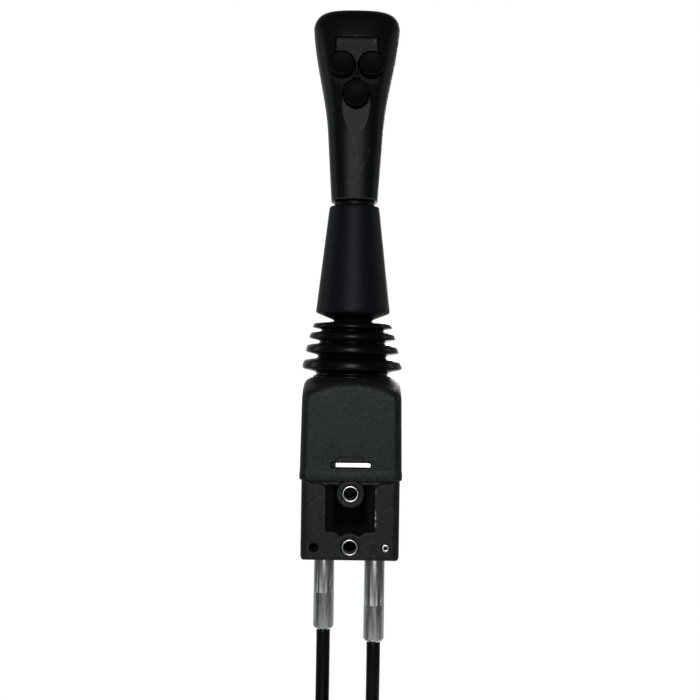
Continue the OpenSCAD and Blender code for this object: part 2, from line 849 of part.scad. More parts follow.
module upper_mount_sleeve() { mount_sleeve(bore_z); }
module lower_mount_sleeve() { mount_sleeve(-bore_z); }
module left_lock_pin() { lock_pin(-1, 7); }
module right_lock_pin() { lock_pin(1, 0.5); }
module yoke_bushes() { bush_pair(0); }
module rocker_bushes() { bush_pair(90); }
module left_cable_fitting() { cable_fitting(-1, left_fitting_z); }
module right_cable_fitting() { cable_fitting(1, right_fitting_z); }
module left_cable() { cable(-1, left_fitting_z); }
module right_cable() { cable(1, right_fitting_z); }
module left_cable_coil() { cable_coil(-1); }
module right_cable_coil() { cable_coil(1); }
module left_cable_end() { cable_end(-1); }
module right_cable_end() { cable_end(1); }
module left_far_fitting() { far_fitting(-1); }
module right_far_fitting() { far_fitting(1); }
module left_core_rod() { core_rod(-1, 0); }
module right_core_rod() { core_rod(1, 90); }
module left_core_pin() { core_pin(-1, 0); }
module right_core_pin() { core_pin(1, 90); }
module left_core_nut() { core_nut(-1); }
module right_core_nut() { core_nut(1); }
module left_far_rod() { far_rod(-1); }
module right_far_rod() { far_rod(1); }
module left_far_nuts() { far_nuts(-1); }
module right_far_nuts() { far_nuts(1); }
module left_switch() { on_panel(-upper_button_x, upper_button) push_switch(); }
module right_switch() { on_panel(upper_button_x, upper_button) push_switch(); }
module lower_switch() { on_panel(0, lower_button_at) push_switch(); }
module left_button_spring() { on_panel(-upper_button_x, upper_button) button_spring(); }
module right_button_spring() { on_panel(upper_button_x, upper_button) button_spring(); }
module lower_button_spring() { on_panel(0, lower_button_at) button_spring(); }
module left_button() { on_panel(-upper_button_x, upper_button) button_cap(5); }
module right_button() { on_panel(upper_button_x, upper_button) button_cap(5); }
module lower_button() { on_panel(0, lower_button_at) button_cap(3.8); }

base_body();
housing_cover();
cover_latch();
upper_mount_sleeve();
lower_mount_sleeve();
left_lock_pin();
right_lock_pin();
yoke_bushes();
rocker_bushes();
bellows();
bellows_retainer();
retainer_screws();
left_cable_fitting();
right_cable_fitting();
left_cable();
right_cable();
left_cable_coil();
right_cable_coil();
left_cable_end();
right_cable_end();
coil_ties();
left_far_fitting();
right_far_fitting();
gimbal_yoke();
yoke_pins();
hub_pin();
side_rocker();
rocker_pins();
lever_hub();
lever_tail();
lever_tube();
lever_shroud();
grip_lock_ring();
grip_front_shell();
grip_rear_shell();
grip_screws();
left_switch();
right_switch();
lower_switch();
left_button_spring();
right_button_spring();
lower_button_spring();
left_button();
right_button();
lower_button();
left_core_rod();
right_core_rod();
left_core_pin();
right_core_pin();
left_core_nut();
right_core_nut();
left_far_rod();
right_far_rod();
left_far_nuts();
right_far_nuts();
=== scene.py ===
import json
import math
import bmesh
import bpy
import numpy as np
from mathutils import Matrix, Vector


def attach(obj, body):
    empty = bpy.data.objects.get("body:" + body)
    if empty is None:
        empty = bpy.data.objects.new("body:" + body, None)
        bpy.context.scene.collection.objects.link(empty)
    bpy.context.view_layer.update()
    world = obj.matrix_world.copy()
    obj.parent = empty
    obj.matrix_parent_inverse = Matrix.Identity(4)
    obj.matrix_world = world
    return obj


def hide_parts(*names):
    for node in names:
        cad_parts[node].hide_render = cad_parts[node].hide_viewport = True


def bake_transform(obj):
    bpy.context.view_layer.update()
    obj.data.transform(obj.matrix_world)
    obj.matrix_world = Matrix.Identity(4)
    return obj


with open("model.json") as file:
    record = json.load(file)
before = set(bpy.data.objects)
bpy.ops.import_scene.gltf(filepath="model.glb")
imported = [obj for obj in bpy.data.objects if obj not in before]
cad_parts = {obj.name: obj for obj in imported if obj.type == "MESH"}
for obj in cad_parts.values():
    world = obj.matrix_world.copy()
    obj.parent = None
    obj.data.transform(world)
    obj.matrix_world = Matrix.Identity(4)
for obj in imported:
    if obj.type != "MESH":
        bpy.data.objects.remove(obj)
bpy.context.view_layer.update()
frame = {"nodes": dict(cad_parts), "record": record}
print("frame loaded:", len(frame["nodes"]), "nodes")

mm = 0.001
axisY = -32.0  # the lever's axis, in front of the mounting face
scene = bpy.context.scene


# ---- camera and lamps ----

cameraSettings = {"place": (-1.6, -714.0, 106.9), "roll": 0.85, "lens": 53.49}


def addCamera(s):
    data = bpy.data.cameras.new("camera")
    data.lens = s["lens"]
    data.sensor_width = 36
    data.clip_start = 0.01
    data.clip_end = 20
    camera = bpy.data.objects.new("camera", data)
    roll = math.radians(s["roll"])
    right = Vector((math.cos(roll), 0, math.sin(roll)))
    up = Vector((-math.sin(roll), 0, math.cos(roll)))
    turn = Matrix((right, up, right.cross(up))).transposed().to_4x4()
    camera.matrix_world = Matrix.Translation(Vector(s["place"]) * mm) @ turn
    scene.collection.objects.link(camera)
    scene.camera = camera


addCamera(cameraSettings)
scene.view_settings.view_transform = "Standard"

lampSettings = {
    "key": {"place": (-40, -1000, 410), "aim": (0, -32, 200), "size": (360, 500), "power": 7.2},
    "front": {"place": (-60, -1050, 70), "aim": (0, -32, 90), "size": (420, 170), "power": 1.9},
    "left": {"place": (-880, 120, 260), "aim": (0, -32, 110), "size": (220, 620), "power": 1.3},
    "right": {"place": (880, 160, 260), "aim": (0, -32, 110), "size": (220, 620), "power": 0.9},
    "rear": {"place": (160, 860, 380), "aim": (0, -32, 120), "size": (360, 560), "power": 6.5},
}


def addLamp(name, s):
    data = bpy.data.lights.new(name, "AREA")
    data.shape = "RECTANGLE"
    data.size, data.size_y = s["size"][0] * mm, s["size"][1] * mm
    data.energy = s["power"]
    lamp = bpy.data.objects.new(name, data)
    place = Vector(s["place"]) * mm
    lamp.location = place
    lamp.rotation_euler = (Vector(s["aim"]) * mm - place).to_track_quat("-Z", "Y").to_euler()
    scene.collection.objects.link(lamp)


for lampName, lampValues in lampSettings.items():
    addLamp(lampName, lampValues)


# ---- shared helpers ----

class NodeMaker:
    # strings the nodes of one tree together
    def __init__(self, tree):
        self.tree = tree

    def feed(self, socket, value):
        if isinstance(value, bpy.types.NodeSocket):
            self.tree.links.new(value, socket)
        else:
            socket.default_value = value

    def node(self, kind, values=None, **settings):
        made = self.tree.nodes.new(kind)
        for key, value in settings.items():
            setattr(made, key, value)
        for key, value in (values or {}).items():
            self.feed(made.inputs[key], value)
        return made

    def math(self, operation, *values):
        made = self.node("ShaderNodeMath", operation=operation)
        for socket, value in zip(made.inputs, values):
            self.feed(socket, value)
        return made.outputs[0]

    def add(self, a, b):
        return self.math("ADD", a, b)

    def subtract(self, a, b):
        return self.math("SUBTRACT", a, b)

    def multiply(self, a, b):
        return self.math("MULTIPLY", a, b)


def smooth(t):
    t = np.clip(t, 0.0, 1.0)
    return t * t * (3 - 2 * t)


def addObject(name, mesh, body, material):
    thing = bpy.data.objects.new(name, mesh)
    scene.collection.objects.link(thing)
    mesh.materials.clear()
    mesh.materials.append(material)
    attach(thing, body)
    return thing


def shadeSmooth(mesh):
    mesh.polygons.foreach_set("use_smooth", [True] * len(mesh.polygons))


def meshFrom(name, points, faces):
    # a smooth mesh from points in millimetres
    mesh = bpy.data.meshes.new(name)
    mesh.from_pydata((np.asarray(points, float) * mm).tolist(), [], faces)
    mesh.update()
    shadeSmooth(mesh)
    return mesh


def meshOf(name, bm):
    mesh = bpy.data.meshes.new(name)
    bm.to_mesh(mesh)
    bm.free()
    return mesh


def addAttribute(mesh, name, values):
    layer = mesh.attributes.new(name, "FLOAT", "POINT")
    layer.data.foreach_set("value", values.astype(np.float32))


def gridFaces(rows, columns):
    # quads between rings of points; each ring runs anticlockwise seen from above, and they rise
    faces = []
    for i in range(rows - 1):
        a, b = i * columns, (i + 1) * columns
        for j in range(columns):
            k = (j + 1) % columns
            faces.append((a + j, a + k, b + k, b + j))
    return faces


def fixNormals(mesh):
    bm = bmesh.new()
    bm.from_mesh(mesh)
    bmesh.ops.recalc_face_normals(bm, faces=bm.faces)
    bm.to_mesh(mesh)
    bm.free()
    mesh.update()


def applyModifiers(thing):
    bpy.context.view_layer.update()
    evaluated = thing.evaluated_get(bpy.context.evaluated_depsgraph_get())
    mesh = bpy.data.meshes.new_from_object(evaluated)
    thing.modifiers.clear()
    thing.data = mesh


def easeEdges(thing, width, degrees):
    bevel = thing.modifiers.new("easedEdges", "BEVEL")
    bevel.width = width * mm
    bevel.segments = 2
    bevel.limit_method = "ANGLE"
    bevel.angle_limit = math.radians(degrees)
    applyModifiers(thing)


# ---- background ----

backdropSettings = {
    "worldColour": (0.94, 0.96, 1.0, 1), "worldLevel": 0.22,
    "roomLevel": 0.07, "backdropFrom": 0.35,  # the dark studio, and where the white begins
    "floorZ": -331.0, "floorRadius": 560.0, "floorColour": (0.86, 0.87, 0.88, 1),
    "floorRoughness": 0.8, "floorGlow": 0.35,
}


def whiteForCamera(make, dim, bright):
    # white where the camera, glass or metal sees it, and a plain level for what it lights
    path = make.node("ShaderNodeLightPath")
    seen = path.outputs["Is Camera Ray"]
    for name in ("Is Glossy Ray", "Is Transmission Ray"):
        seen = make.math("MAXIMUM", seen, path.outputs[name])
    return make.node("ShaderNodeMixShader", {0: seen, 1: dim, 2: bright}).outputs[0]


def addWorld(s):
    world = bpy.data.worlds.new("studio")
    world.use_nodes = True
    scene.world = world
    world.node_tree.nodes.clear()
    make = NodeMaker(world.node_tree)
    dim = make.node("ShaderNodeBackground",
                    {"Color": s["worldColour"], "Strength": s["worldLevel"]})
    # reflections show the white backdrop behind the object and a dark studio in front of it
    place = make.node("ShaderNodeTexCoord")
    split = make.node("ShaderNodeSeparateXYZ", {"Vector": place.outputs["Generated"]})
    behind = make.node("ShaderNodeMapRange", {
        "Value": split.outputs["Y"], "From Min": s["backdropFrom"], "From Max": 1.0,
        "To Min": s["roomLevel"], "To Max": 1.0})
    path = make.node("ShaderNodeLightPath")
    level = make.math("MAXIMUM", path.outputs["Is Camera Ray"], behind.outputs["Result"])
    bright = make.node("ShaderNodeBackground", {"Color": (1, 1, 1, 1), "Strength": level})
    out = make.node("ShaderNodeOutputWorld")
    make.feed(out.inputs["Surface"], whiteForCamera(make, dim.outputs[0], bright.outputs[0]))


def addFloor(s):
    bm = bmesh.new()
    bmesh.ops.create_circle(bm, cap_ends=True, radius=s["floorRadius"] * mm, segments=96)
    bmesh.ops.translate(bm, verts=bm.verts, vec=(0, 0, s["floorZ"] * mm))
    mesh = meshOf("floor", bm)
    floor = bpy.data.objects.new("floor", mesh)
    scene.collection.objects.link(floor)
    material = bpy.data.materials.new("paleFloor")
    material.use_nodes = True
    make = NodeMaker(material.node_tree)
    shader = make.tree.nodes["Principled BSDF"]
    shader.inputs["Base Color"].default_value = s["floorColour"]
    shader.inputs["Roughness"].default_value = s["floorRoughness"]
    glow = make.node("ShaderNodeEmission", {"Strength": s["floorGlow"]})
    bright = make.node("ShaderNodeAddShader", {0: shader.outputs[0], 1: glow.outputs[0]})
    out = make.tree.nodes["Material Output"]
    make.feed(out.inputs["Surface"], whiteForCamera(make, shader.outputs[0], bright.outputs[0]))
    mesh.materials.append(material)


addWorld(backdropSettings)
addFloor(backdropSettings)
print("camera, lamps and floor placed")


# ---- materials ----

# Colours are 0 to 255 as read off a screen. Grain is the scale, detail and roughness of a noise,
# rough goes from its smoothest to its roughest, and bump is depth and strength. Patches are a
# noise, the range of it that shows, and how strongly.
finishSettings = {
    "cast": {"name": "castIron", "specular": 0.15, "tint": (0.88, 1.0, 0.97),
             "grain": (900, 6, 0.62), "rough": (0.46, 0.6), "bump": (0.26, 0.7),
             "tones": ((12, 13, 13), (18, 19, 19)), "worn": (74, 75, 73), "wornShare": 0.35,
             # the chip colour is also a painted highlight on the window's lip, and the dark colour
             # after it is painted shade in the window
             "chip": (150, 152, 148), "grease": (2, 3, 3), "greaseRough": 0.4},
    "cover": {"name": "grainedCover", "specular": 0.15, "tint": (0.86, 0.98, 1.0),
              "grain": (620, 5, 0.66), "rough": (0.42, 0.55), "bump": (0.3, 0.8),
              # the speck colour is painted glints
              "tones": ((10, 12, 13), (14, 16, 17)), "speck": (86, 90, 90), "speckShare": 0.3},
    "shroud": {"name": "conePlastic", "specular": 0.075, "tint": (0.88, 0.96, 1.0),
               "grain": (850, 4, 0.68), "rough": (0.4, 0.54), "bump": (0.2, 0.8),
               # the second tone is painted glints in the pits
               "tones": ((7, 9, 13), (80, 86, 92)), "pitShare": 0.5},
    # the grip's light marks are scuffs plus a painted sheen, and its edge colour is polish plus a
    # painted highlight
    "grip": {"name": "gripPlastic", "specular": 0.08, "tint": (0.9, 1.0, 0.97),
             "grain": (1300, 4, 0.6), "rough": (0.36, 0.48), "bump": (0.05, 0.6),
             "tones": ((6, 7, 7), (118, 122, 118)), "scuffShare": 0.5, "edge": (70, 74, 73),
             "edgeShare": 0.4},
    "rubber": {"name": "bellowsRubber", "specular": 0.08, "grain": (900, 4, 0.6),
               "rough": (0.24, 0.3), "bump": (0.012, 0.3), "tones": ((5, 6, 7), (30, 32, 33)),
               "patches": ((75, 5, 0.65), (0.52, 0.78), 0.25)},
    "jacket": {"name": "cableJacket", "specular": 0.09, "grain": (1400, 3, 0.5),
               "bump": (0.03, 0.5), "drawn": (9, 4, 0.6), "along": (6.0, 60.0, 1.0),
               "rough": (0.34, 0.46), "tones": ((4, 4, 5), (9, 9, 10))},
    "sleeve": {"name": "sleeveSteel", "metallic": 1.0, "tint": (0.06, 0.06, 0.06),
               "grain": (900, 4, 0.6), "rough": (0.2, 0.34), "bump": (0.03, 0.4),
               # the bore's tones, from just inside to deep in: oxide plus painted shade
               "ring": (160, 162, 159), "tones": ((150, 151, 149), (10, 10, 11)),
               "boreRough": 0.45},
    "button": {"name": "buttonPlastic", "specular": 0.02, "grain": (1500, 4, 0.6),
               "rough": (0.42, 0.56), "bump": (0.03, 0.5), "tones": ((4, 5, 5), (8, 9, 9))},
    "tie": {"name": "tieNylon", "specular": 0.15, "grain": (500, 3, 0.5), "rough": (0.38, 0.5),
            "bump": (0.04, 0.5), "tones": ((16, 16, 17), (26, 26, 27))},
    "bronze": {"name": "sinteredBronze", "metallic": 1.0, "grain": (1600, 5, 0.65),
               "rough": (0.38, 0.56), "bump": (0.05, 0.5),
               "tones": ((136, 98, 52), (176, 132, 78))},
}
finishSettings["switch"] = dict(finishSettings["tie"], name="switchBody")

# steel with marks drawn along it, the way that the streak's smallest number names, and stains
drawnSettings = {
    "steel": ("brightSteel", ((190, 192, 190), (120, 120, 117)), (0.2, 0.36), (1.0, 0.08, 1.0)),
    "fitting": ("zincPlated", ((170, 174, 171), (86, 89, 88)), (0.2, 0.38), (1.0, 1.0, 0.06)),
    "latch": ("latchSteel", ((226, 226, 220), (168, 166, 158)), (0.34, 0.5), (0.3, 1.0, 1.0)),
    # painted shade: the gimbal deep in the window and the left pin deep in its hole get near-black
    # steel
    "gimbal": ("machinedSteel", ((20, 20, 21), (12, 12, 13)), (0.5, 0.66), (1.0, 1.0, 0.06)),
    "shadedPin": ("phosphatedSteel", ((16, 16, 17), (9, 9, 10)), (0.6, 0.75), (1.0, 1.0, 0.06)),
}
for steelKey, (steelName, tones, rough, streak) in drawnSettings.items():
    finishSettings[steelKey] = {
        "name": steelName, "metallic": 1.0, "grain": (700, 5, 0.6), "streak": streak,
        "rough": rough, "bump": (0.03, 0.5), "tones": tones,
        "patches": ((130, 4, 0.6), (0.55, 0.75), 0.6)}


def linear(r, g, b):
    # Blender's linear values of a screen colour
    return tuple(((v / 255 + 0.055) / 1.055) ** 2.4 if v > 10.3 else v / 255 / 12.92
                 for v in (r, g, b)) + (1.0,)


class Finish(NodeMaker):
    # one material: a grain that roughens and bumps it, and the colour that its painter gives it
    def __init__(self, s, paint):
        self.material = bpy.data.materials.new(s["name"])
        self.material.use_nodes = True
        super().__init__(self.material.node_tree)
        self.shader = self.tree.nodes["Principled BSDF"].inputs
        self.feed(self.shader["Metallic"], s.get("metallic", 0.0))
        self.feed(self.shader["Specular IOR Level"], s.get("specular", 0.5))
        self.feed(self.shader["Specular Tint"], (*s.get("tint", (1, 1, 1)), 1))
        self.place = self.node("ShaderNodeTexCoord").outputs["Object"]
        self.height = None
        self.grain = self.noise(*s["grain"], self.stretched(s["streak"]) if "streak" in s else None)
        self.bump(self.grain, *s["bump"])
        self.roughen(self.grain, s["rough"])
        self.feed(self.shader["Base Color"], paint(self, s))

    def stretched(self, scale, vector=None):
        values = {"Scale": scale, "Vector": vector or self.place}
        return self.node("ShaderNodeMapping", values).outputs["Vector"]

    def noise(self, scale, detail, roughness, vector=None):
        values = {"Scale": scale, "Detail": detail, "Roughness": roughness,
                  "Vector": vector or self.place}
        return self.node("ShaderNodeTexNoise", values).outputs["Fac"]

    def spots(self, scale):
        values = {"Scale": scale, "Vector": self.place}
        return self.node("ShaderNodeTexVoronoi", values).outputs["Distance"]

    def ramp(self, source, low, high, start=0.0, end=1.0):
        values = {"Value": source, "From Min": low, "From Max": high, "To Min": start,
                  "To Max": end}
        return self.node("ShaderNodeMapRange", values).outputs["Result"]

    def attribute(self, name):
        return self.node("ShaderNodeAttribute", attribute_name=name).outputs["Fac"]

    def mix(self, share, first, second):
        made = self.node("ShaderNodeMix", {"Factor": share}, data_type="RGBA")
        for index, value in ((6, first), (7, second)):
            colour = linear(*value) if isinstance(value, tuple) else value
            self.feed(made.inputs[index], colour)
        return made.outputs[2]

    def roughen(self, source, levels, extra=0.0):
        level = self.add(self.ramp(source, 0.3, 0.7, *levels), extra)
        self.feed(self.shader["Roughness"], level)

    def bump(self, source, distance, strength):
        values = {"Height": source, "Distance": distance * mm, "Strength": strength}
        if self.height:
            values["Normal"] = self.height
        self.height = self.node("ShaderNodeBump", values).outputs["Normal"]
        self.feed(self.shader["Normal"], self.height)


def paintPlain(f, s):
    # the second tone follows the grain, or lies in patches of its own
    if "patches" not in s:
        return f.mix(f.ramp(f.grain, 0.4, 0.7), *s["tones"])
    noise, shown, share = s["patches"]
    return f.mix(f.multiply(f.ramp(f.noise(*noise), *shown), share), *s["tones"])


def paintCast(f, s):
    # painted iron with a sand-cast skin, rubbed on its high spots, with painted shade darkening its
    # window and a painted highlight with chips on the window's lip
    lumps = f.noise(170, 3, 0.5)
    f.bump(lumps, 0.6, 0.5)
    worn = f.ramp(f.noise(620, 5, 0.7), 0.56, 0.7)
    # chips, and a painted highlight down the window's right lip
    chipsAndHighlight = f.multiply(f.ramp(f.noise(380, 4, 0.7), 0.5, 0.62), f.attribute("lipChipsAndHighlight"))
    # painted shade: darker and rougher inside the window
    windowShade = f.attribute("windowShade")
    f.roughen(f.grain, s["rough"], f.multiply(windowShade, s["greaseRough"]))
    tone = f.mix(f.ramp(lumps, 0.35, 0.7), *s["tones"])
    tone = f.mix(f.multiply(worn, s["wornShare"]), tone, s["worn"])
    return f.mix(windowShade, f.mix(chipsAndHighlight, tone, s["chip"]), s["grease"])


def paintCover(f, s):
    # textured moulding with a coarse grain, and light specks painted in as glints
    f.bump(f.spots(560), 0.12, 0.5)
    # painted glints: light specks over the whole moulding
    glintSpecks = f.ramp(f.noise(1050, 3, 0.6), 0.57, 0.7)
    tone = f.mix(f.ramp(f.noise(60, 3, 0.5), 0.35, 0.65), *s["tones"])
    return f.mix(f.multiply(glintSpecks, s["speckShare"]), tone, s["speck"])


def paintShroud(f, s):
    # smooth moulding with a bluish tone, pitted in places, and its pits painted light as glints
    pits = f.ramp(f.spots(430), 0.0, 0.16, 1.0, 0.0)
    pitted = f.multiply(pits, f.ramp(f.noise(140, 3, 0.6), 0.5, 0.62))
    f.bump(pitted, 0.1, 0.6)
    # painted glints: the pits are lightened
    return f.mix(f.multiply(pitted, s["pitShare"]), *s["tones"])


def paintGrip(f, s):
    # light scuffs where hands and tools have rubbed it, a painted sheen at the top of the panel,
    # and light edges: polish plus painted highlight
    scuffs = f.ramp(f.noise(330, 6, 0.75, f.stretched((1.0, 1.0, 0.5))), 0.6, 0.68)
    f.bump(scuffs, 0.03, 0.3)
    dots = f.ramp(f.spots(300), 0.0, 0.13, 1.0, 0.0)
    # scuffs, and a painted sheen on the panel's top
    marks = f.multiply(f.math("MAXIMUM", scuffs, dots), f.attribute("scuffsAndSheen"))
    tone = f.mix(f.multiply(marks, s["scuffShare"]), *s["tones"])
    # edges painted light: polish plus painted highlight
    return f.mix(f.multiply(f.attribute("edge"), s["edgeShare"]), tone, s["edge"])


def paintJacket(f, s):
    # extruded cable jacket; its pattern follows the cable
    along = f.node("ShaderNodeUVMap", uv_map="along").outputs["UV"]
    drawn = f.noise(*s["drawn"], f.stretched(s["along"], along))
    f.roughen(drawn, s["rough"])
    return f.mix(f.ramp(drawn, 0.45, 0.75), *s["tones"])


def paintSleeve(f, s):
    # bright end rings and a dull bore, told apart by their depth in metres; the bore darkens deeper
    # in: oxide plus painted shade
    depth = f.node("ShaderNodeSeparateXYZ", {"Vector": f.place}).outputs["Y"]
    bore = f.multiply(f.ramp(depth, -0.0641, -0.0638), f.ramp(depth, -0.0004, -0.0001, 1.0, 0.0))
    f.roughen(f.grain, s["rough"], f.multiply(bore, s["boreRough"]))
    # darker deeper in the bore: oxide plus painted shade
    return f.mix(bore, s["ring"], f.mix(f.ramp(depth, -0.063, -0.052), *s["tones"]))


painters = {"cast": paintCast, "cover": paintCover, "shroud": paintShroud, "grip": paintGrip,
            "jacket": paintJacket, "sleeve": paintSleeve}
finishes = {key: Finish(values, painters.get(key, paintPlain)).material
            for key, values in finishSettings.items()}
print("finishes made:", len(finishes))


# ---- the CAD's own pieces ----

slots = {part["node"]: part["material_slot"] for part in frame["record"]["subparts"]}

for nodeName, nodeObject in frame["nodes"].items():
    nodeObject.data.materials.clear()
    nodeObject.data.materials.append(finishes[slots[nodeName]])
print("finishes assigned to the CAD nodes")


def rawCopy(*nodes):
    # one mesh from copies of CAD nodes, with their loose triangles joined up
    bm = bmesh.new()
    for node in nodes:
        bm.from_mesh(frame["nodes"][node].data)
    bmesh.ops.remove_doubles(bm, verts=bm.verts, dist=0.00002)
    return meshOf(nodes[0] + "Copy", bm)


# ---- turned and plated pieces: the CAD's own shape with its edges eased ----

# body, nodes, width of the eased edge and, where it isn't the nodes' own, the finish
easedSettings = {
    "leftFitting": ("root", ["left_cable_fitting"], 0.35),
    "rightFitting": ("root", ["right_cable_fitting"], 0.35),
    "leftFarFitting": ("root", ["left_far_fitting"], 0.35),
    "rightFarFitting": ("root", ["right_far_fitting"], 0.35),
    "mountSleeves": ("root", ["upper_mount_sleeve", "lower_mount_sleeve"], 0.15, "sleeve"),
    # painted shade: the left pin gets dark steel, while the right one, the same part, is bright
    "leftLockPin": ("root", ["left_lock_pin"], 0.2, "shadedPin"),
    "rightLockPin": ("root", ["right_lock_pin"], 0.2, "fitting"),
    "leftFarRod": ("left_far_core", ["left_far_rod"], 0.3),
    "rightFarRod": ("right_far_core", ["right_far_rod"], 0.3),
    "leftFarNuts": ("left_far_core", ["left_far_nuts"], 0.25),
    "rightFarNuts": ("right_far_core", ["right_far_nuts"], 0.25),
    "lockRing": ("lever", ["grip_lock_ring"], 0.3),
}


def easeNodes(name, body, nodes, width, finish=None):
    mesh = rawCopy(*nodes)
    shadeSmooth(mesh)
    thing = addObject(name, mesh, body, finishes[finish or slots[nodes[0]]])
    easeEdges(thing, width, 35)
    thing.data.set_sharp_from_angle(angle=math.radians(28))
    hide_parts(*nodes)
    return thing


eased = {name: easeNodes(name, *values) for name, values in easedSettings.items()}
print("turned pieces eased:", len(eased))


# ---- cables and their coils ----

cableSettings = {
    "x": 16.1, "forward": 16.0, "diameter": 8.7, "outerRadius": 53.0, "coilHeight": -192.0,
    "exits": {"left": -71.0, "right": -78.8}, "straightTo": 92.0, "leadTo": 138.0,
    "farEnd": -242.0, "turns": 6, "pointsPerTurn": 60, "sides": 24,
    "gap": 0.15, "tailGap": 0.6,  # between the two cables, and between the coil and its tail
    "swapFrom": 188, "swapOver": 126, "bulge": 3.2,  # where a turn moves to the next one's place
}


def cableRoute(side, exitZ, s):
    # from the fitting down, six turns two deep, and down again to the far fitting; millimetres
    d = s["diameter"]
    plane = axisY - s["forward"]
    half = d / 2 + s["gap"]
    outer, inner = s["outerRadius"], s["outerRadius"] - d
    centreX, centreZ = -side * (outer - s["x"]), s["coilHeight"]
    route = []
    for z in np.concatenate([np.arange(-exitZ, s["leadTo"], 2.5),
                             np.arange(s["leadTo"], -s["coilHeight"] - 1, 4.5)]):
        ease = float(smooth((z - s["straightTo"]) / (s["leadTo"] - s["straightTo"])))
        route.append((side * s["x"], plane + side * half * ease, -z))
    # places of the turns across the coil: radius and distance from the cables' plane
    tailOffset = half + 3 * d + s["tailGap"]
    places = [(outer, half), (inner, half), (inner, half + d), (outer, half + d),
              (outer, half + 2 * d), (inner, half + 2 * d), (inner, tailOffset)]
    for i in range(s["turns"] * s["pointsPerTurn"] + 1):
        turn, part = divmod(i / s["pointsPerTurn"] * 360, 360)
        turn = int(turn)
        if turn == s["turns"]:
            turn, part = turn - 1, 360.0
        move = (part - s["swapFrom"]) / s["swapOver"]
        ease = float(smooth(move))
        a, b = places[turn], places[turn + 1]
        radius = a[0] + (b[0] - a[0]) * ease
        offset = a[1] + (b[1] - a[1]) * ease
        bulge = s["bulge"] * math.sin(math.pi * min(max(move, 0), 1)) ** 2
        if a[0] == b[0] and a[1] != b[1]:
            radius += bulge if a[0] > inner else -bulge
        angle = math.radians(part)
        route.append((centreX + side * radius * math.cos(angle), plane + side * offset,
                      centreZ - radius * math.sin(angle)))
    for z in np.linspace(s["coilHeight"], s["farEnd"], 19)[1:]:
        route.append((side * (s["x"] - d), plane + side * tailOffset, z))
    return [Vector(p) for p in route]


def tube(name, route, radius, sides):
    # a closed tube along the route, with its length in the UV map, in metres
    count = len(route)
    tangents = [(route[min(i + 1, count - 1)] - route[max(i - 1, 0)]).normalized()
                for i in range(count)]
    across = tangents[0].orthogonal().normalized()
    points, lengths, travelled = [], [], 0.0
    for i in range(count):
        if i:
            travelled += (route[i] - route[i - 1]).length
            across = (across - tangents[i] * across.dot(tangents[i])).normalized()
        other = tangents[i].cross(across)
        lengths.append(travelled)
        for j in range(sides):
            a = 2 * math.pi * j / sides
            points.append(route[i] + radius * (math.cos(a) * across + math.sin(a) * other))
    faces = [tuple(reversed(f)) for f in gridFaces(count, sides)]
    faces.append(tuple(range(sides)))
    faces.append(tuple(reversed(range((count - 1) * sides, count * sides))))
    mesh = meshFrom(name, points, faces)
    fixNormals(mesh)
    layer = mesh.uv_layers.new(name="along")
    for polygon in mesh.polygons:
        corners = [(v // sides, v % sides) for v in polygon.vertices]
        columns = [j for i, j in corners]
        wrap = max(columns) - min(columns) > sides / 2
        for loop, (i, j) in zip(polygon.loop_indices, corners):
            turned = j + sides if wrap and j == 0 else j
            layer.data[loop].uv = (turned / sides, lengths[i] * mm)
    return mesh, travelled * mm


def makeCable(side, word, s):
    route = cableRoute(side, s["exits"][word], s)
    mesh, length = tube(word + "Cable", route, s["diameter"] / 2, s["sides"])
    cable = addObject(word + "Cable", mesh, "root", finishes["jacket"])
    nodes = [word + "_cable", word + "_cable_coil", word + "_cable_end"]
    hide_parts(*nodes)
    print(word, "cable:", round(length, 3), "m")


makeCable(-1, "left", cableSettings)
makeCable(1, "right", cableSettings)


# ---- cast base ----

baseSettings = {
    "voxel": 0.62, "cutAbove": 25.6, "smoothing": 3,
    "window": (21.0, -23.0, 24.0, -61.0),  # half width, bottom, top and front
    # painted shade inside the window: where it fades in from the front, and where it stops
    "windowShadeFade": 9.0, "windowShadeTo": -4.0,
    # painted highlight down the window's right lip, strongest around a chip
    "highlitLip": {"x": 15.8, "width": 0.45, "front": -62.0, "bottom": -6.0, "top": 22.0},
    "chipsAndHighlight": {"height": 2.0, "reach": 8.0, "fade": 6.0, "strong": 0.8, "weak": 0.25},
}


def paintedLightAndChipsOfBase(mesh, s):
    # painted shade inside the window, and chips with a painted highlight along the window's right
    # lip, as attributes
    points = np.empty(len(mesh.vertices) * 3, np.float32)
    mesh.vertices.foreach_get("co", points)
    x, y, z = points.reshape(-1, 3).T / mm
    halfX, low, high, front = s["window"]
    # painted shade: the window's inside is darkened, fading in from its front
    windowShade = smooth((y - front) / s["windowShadeFade"]) * (np.abs(x) < halfX) * (z > low)
    addAttribute(mesh, "windowShade", windowShade * (z < high) * (y < s["windowShadeTo"]))
    lip, chipsAndHighlight = s["highlitLip"], s["chipsAndHighlight"]
    # painted highlight: a light line down the lip's edge, where light catches it, stronger at a
    # chip near its middle
    near = np.exp(-((x - lip["x"]) / lip["width"]) ** 2) * (y < lip["front"])
    near = near * (z > lip["bottom"]) * (z < lip["top"])
    strong = smooth((chipsAndHighlight["reach"] - np.abs(z - chipsAndHighlight["height"])) / chipsAndHighlight["fade"])
    addAttribute(mesh, "lipChipsAndHighlight", chipsAndHighlight["strong"] * near * strong + chipsAndHighlight["weak"] * near)


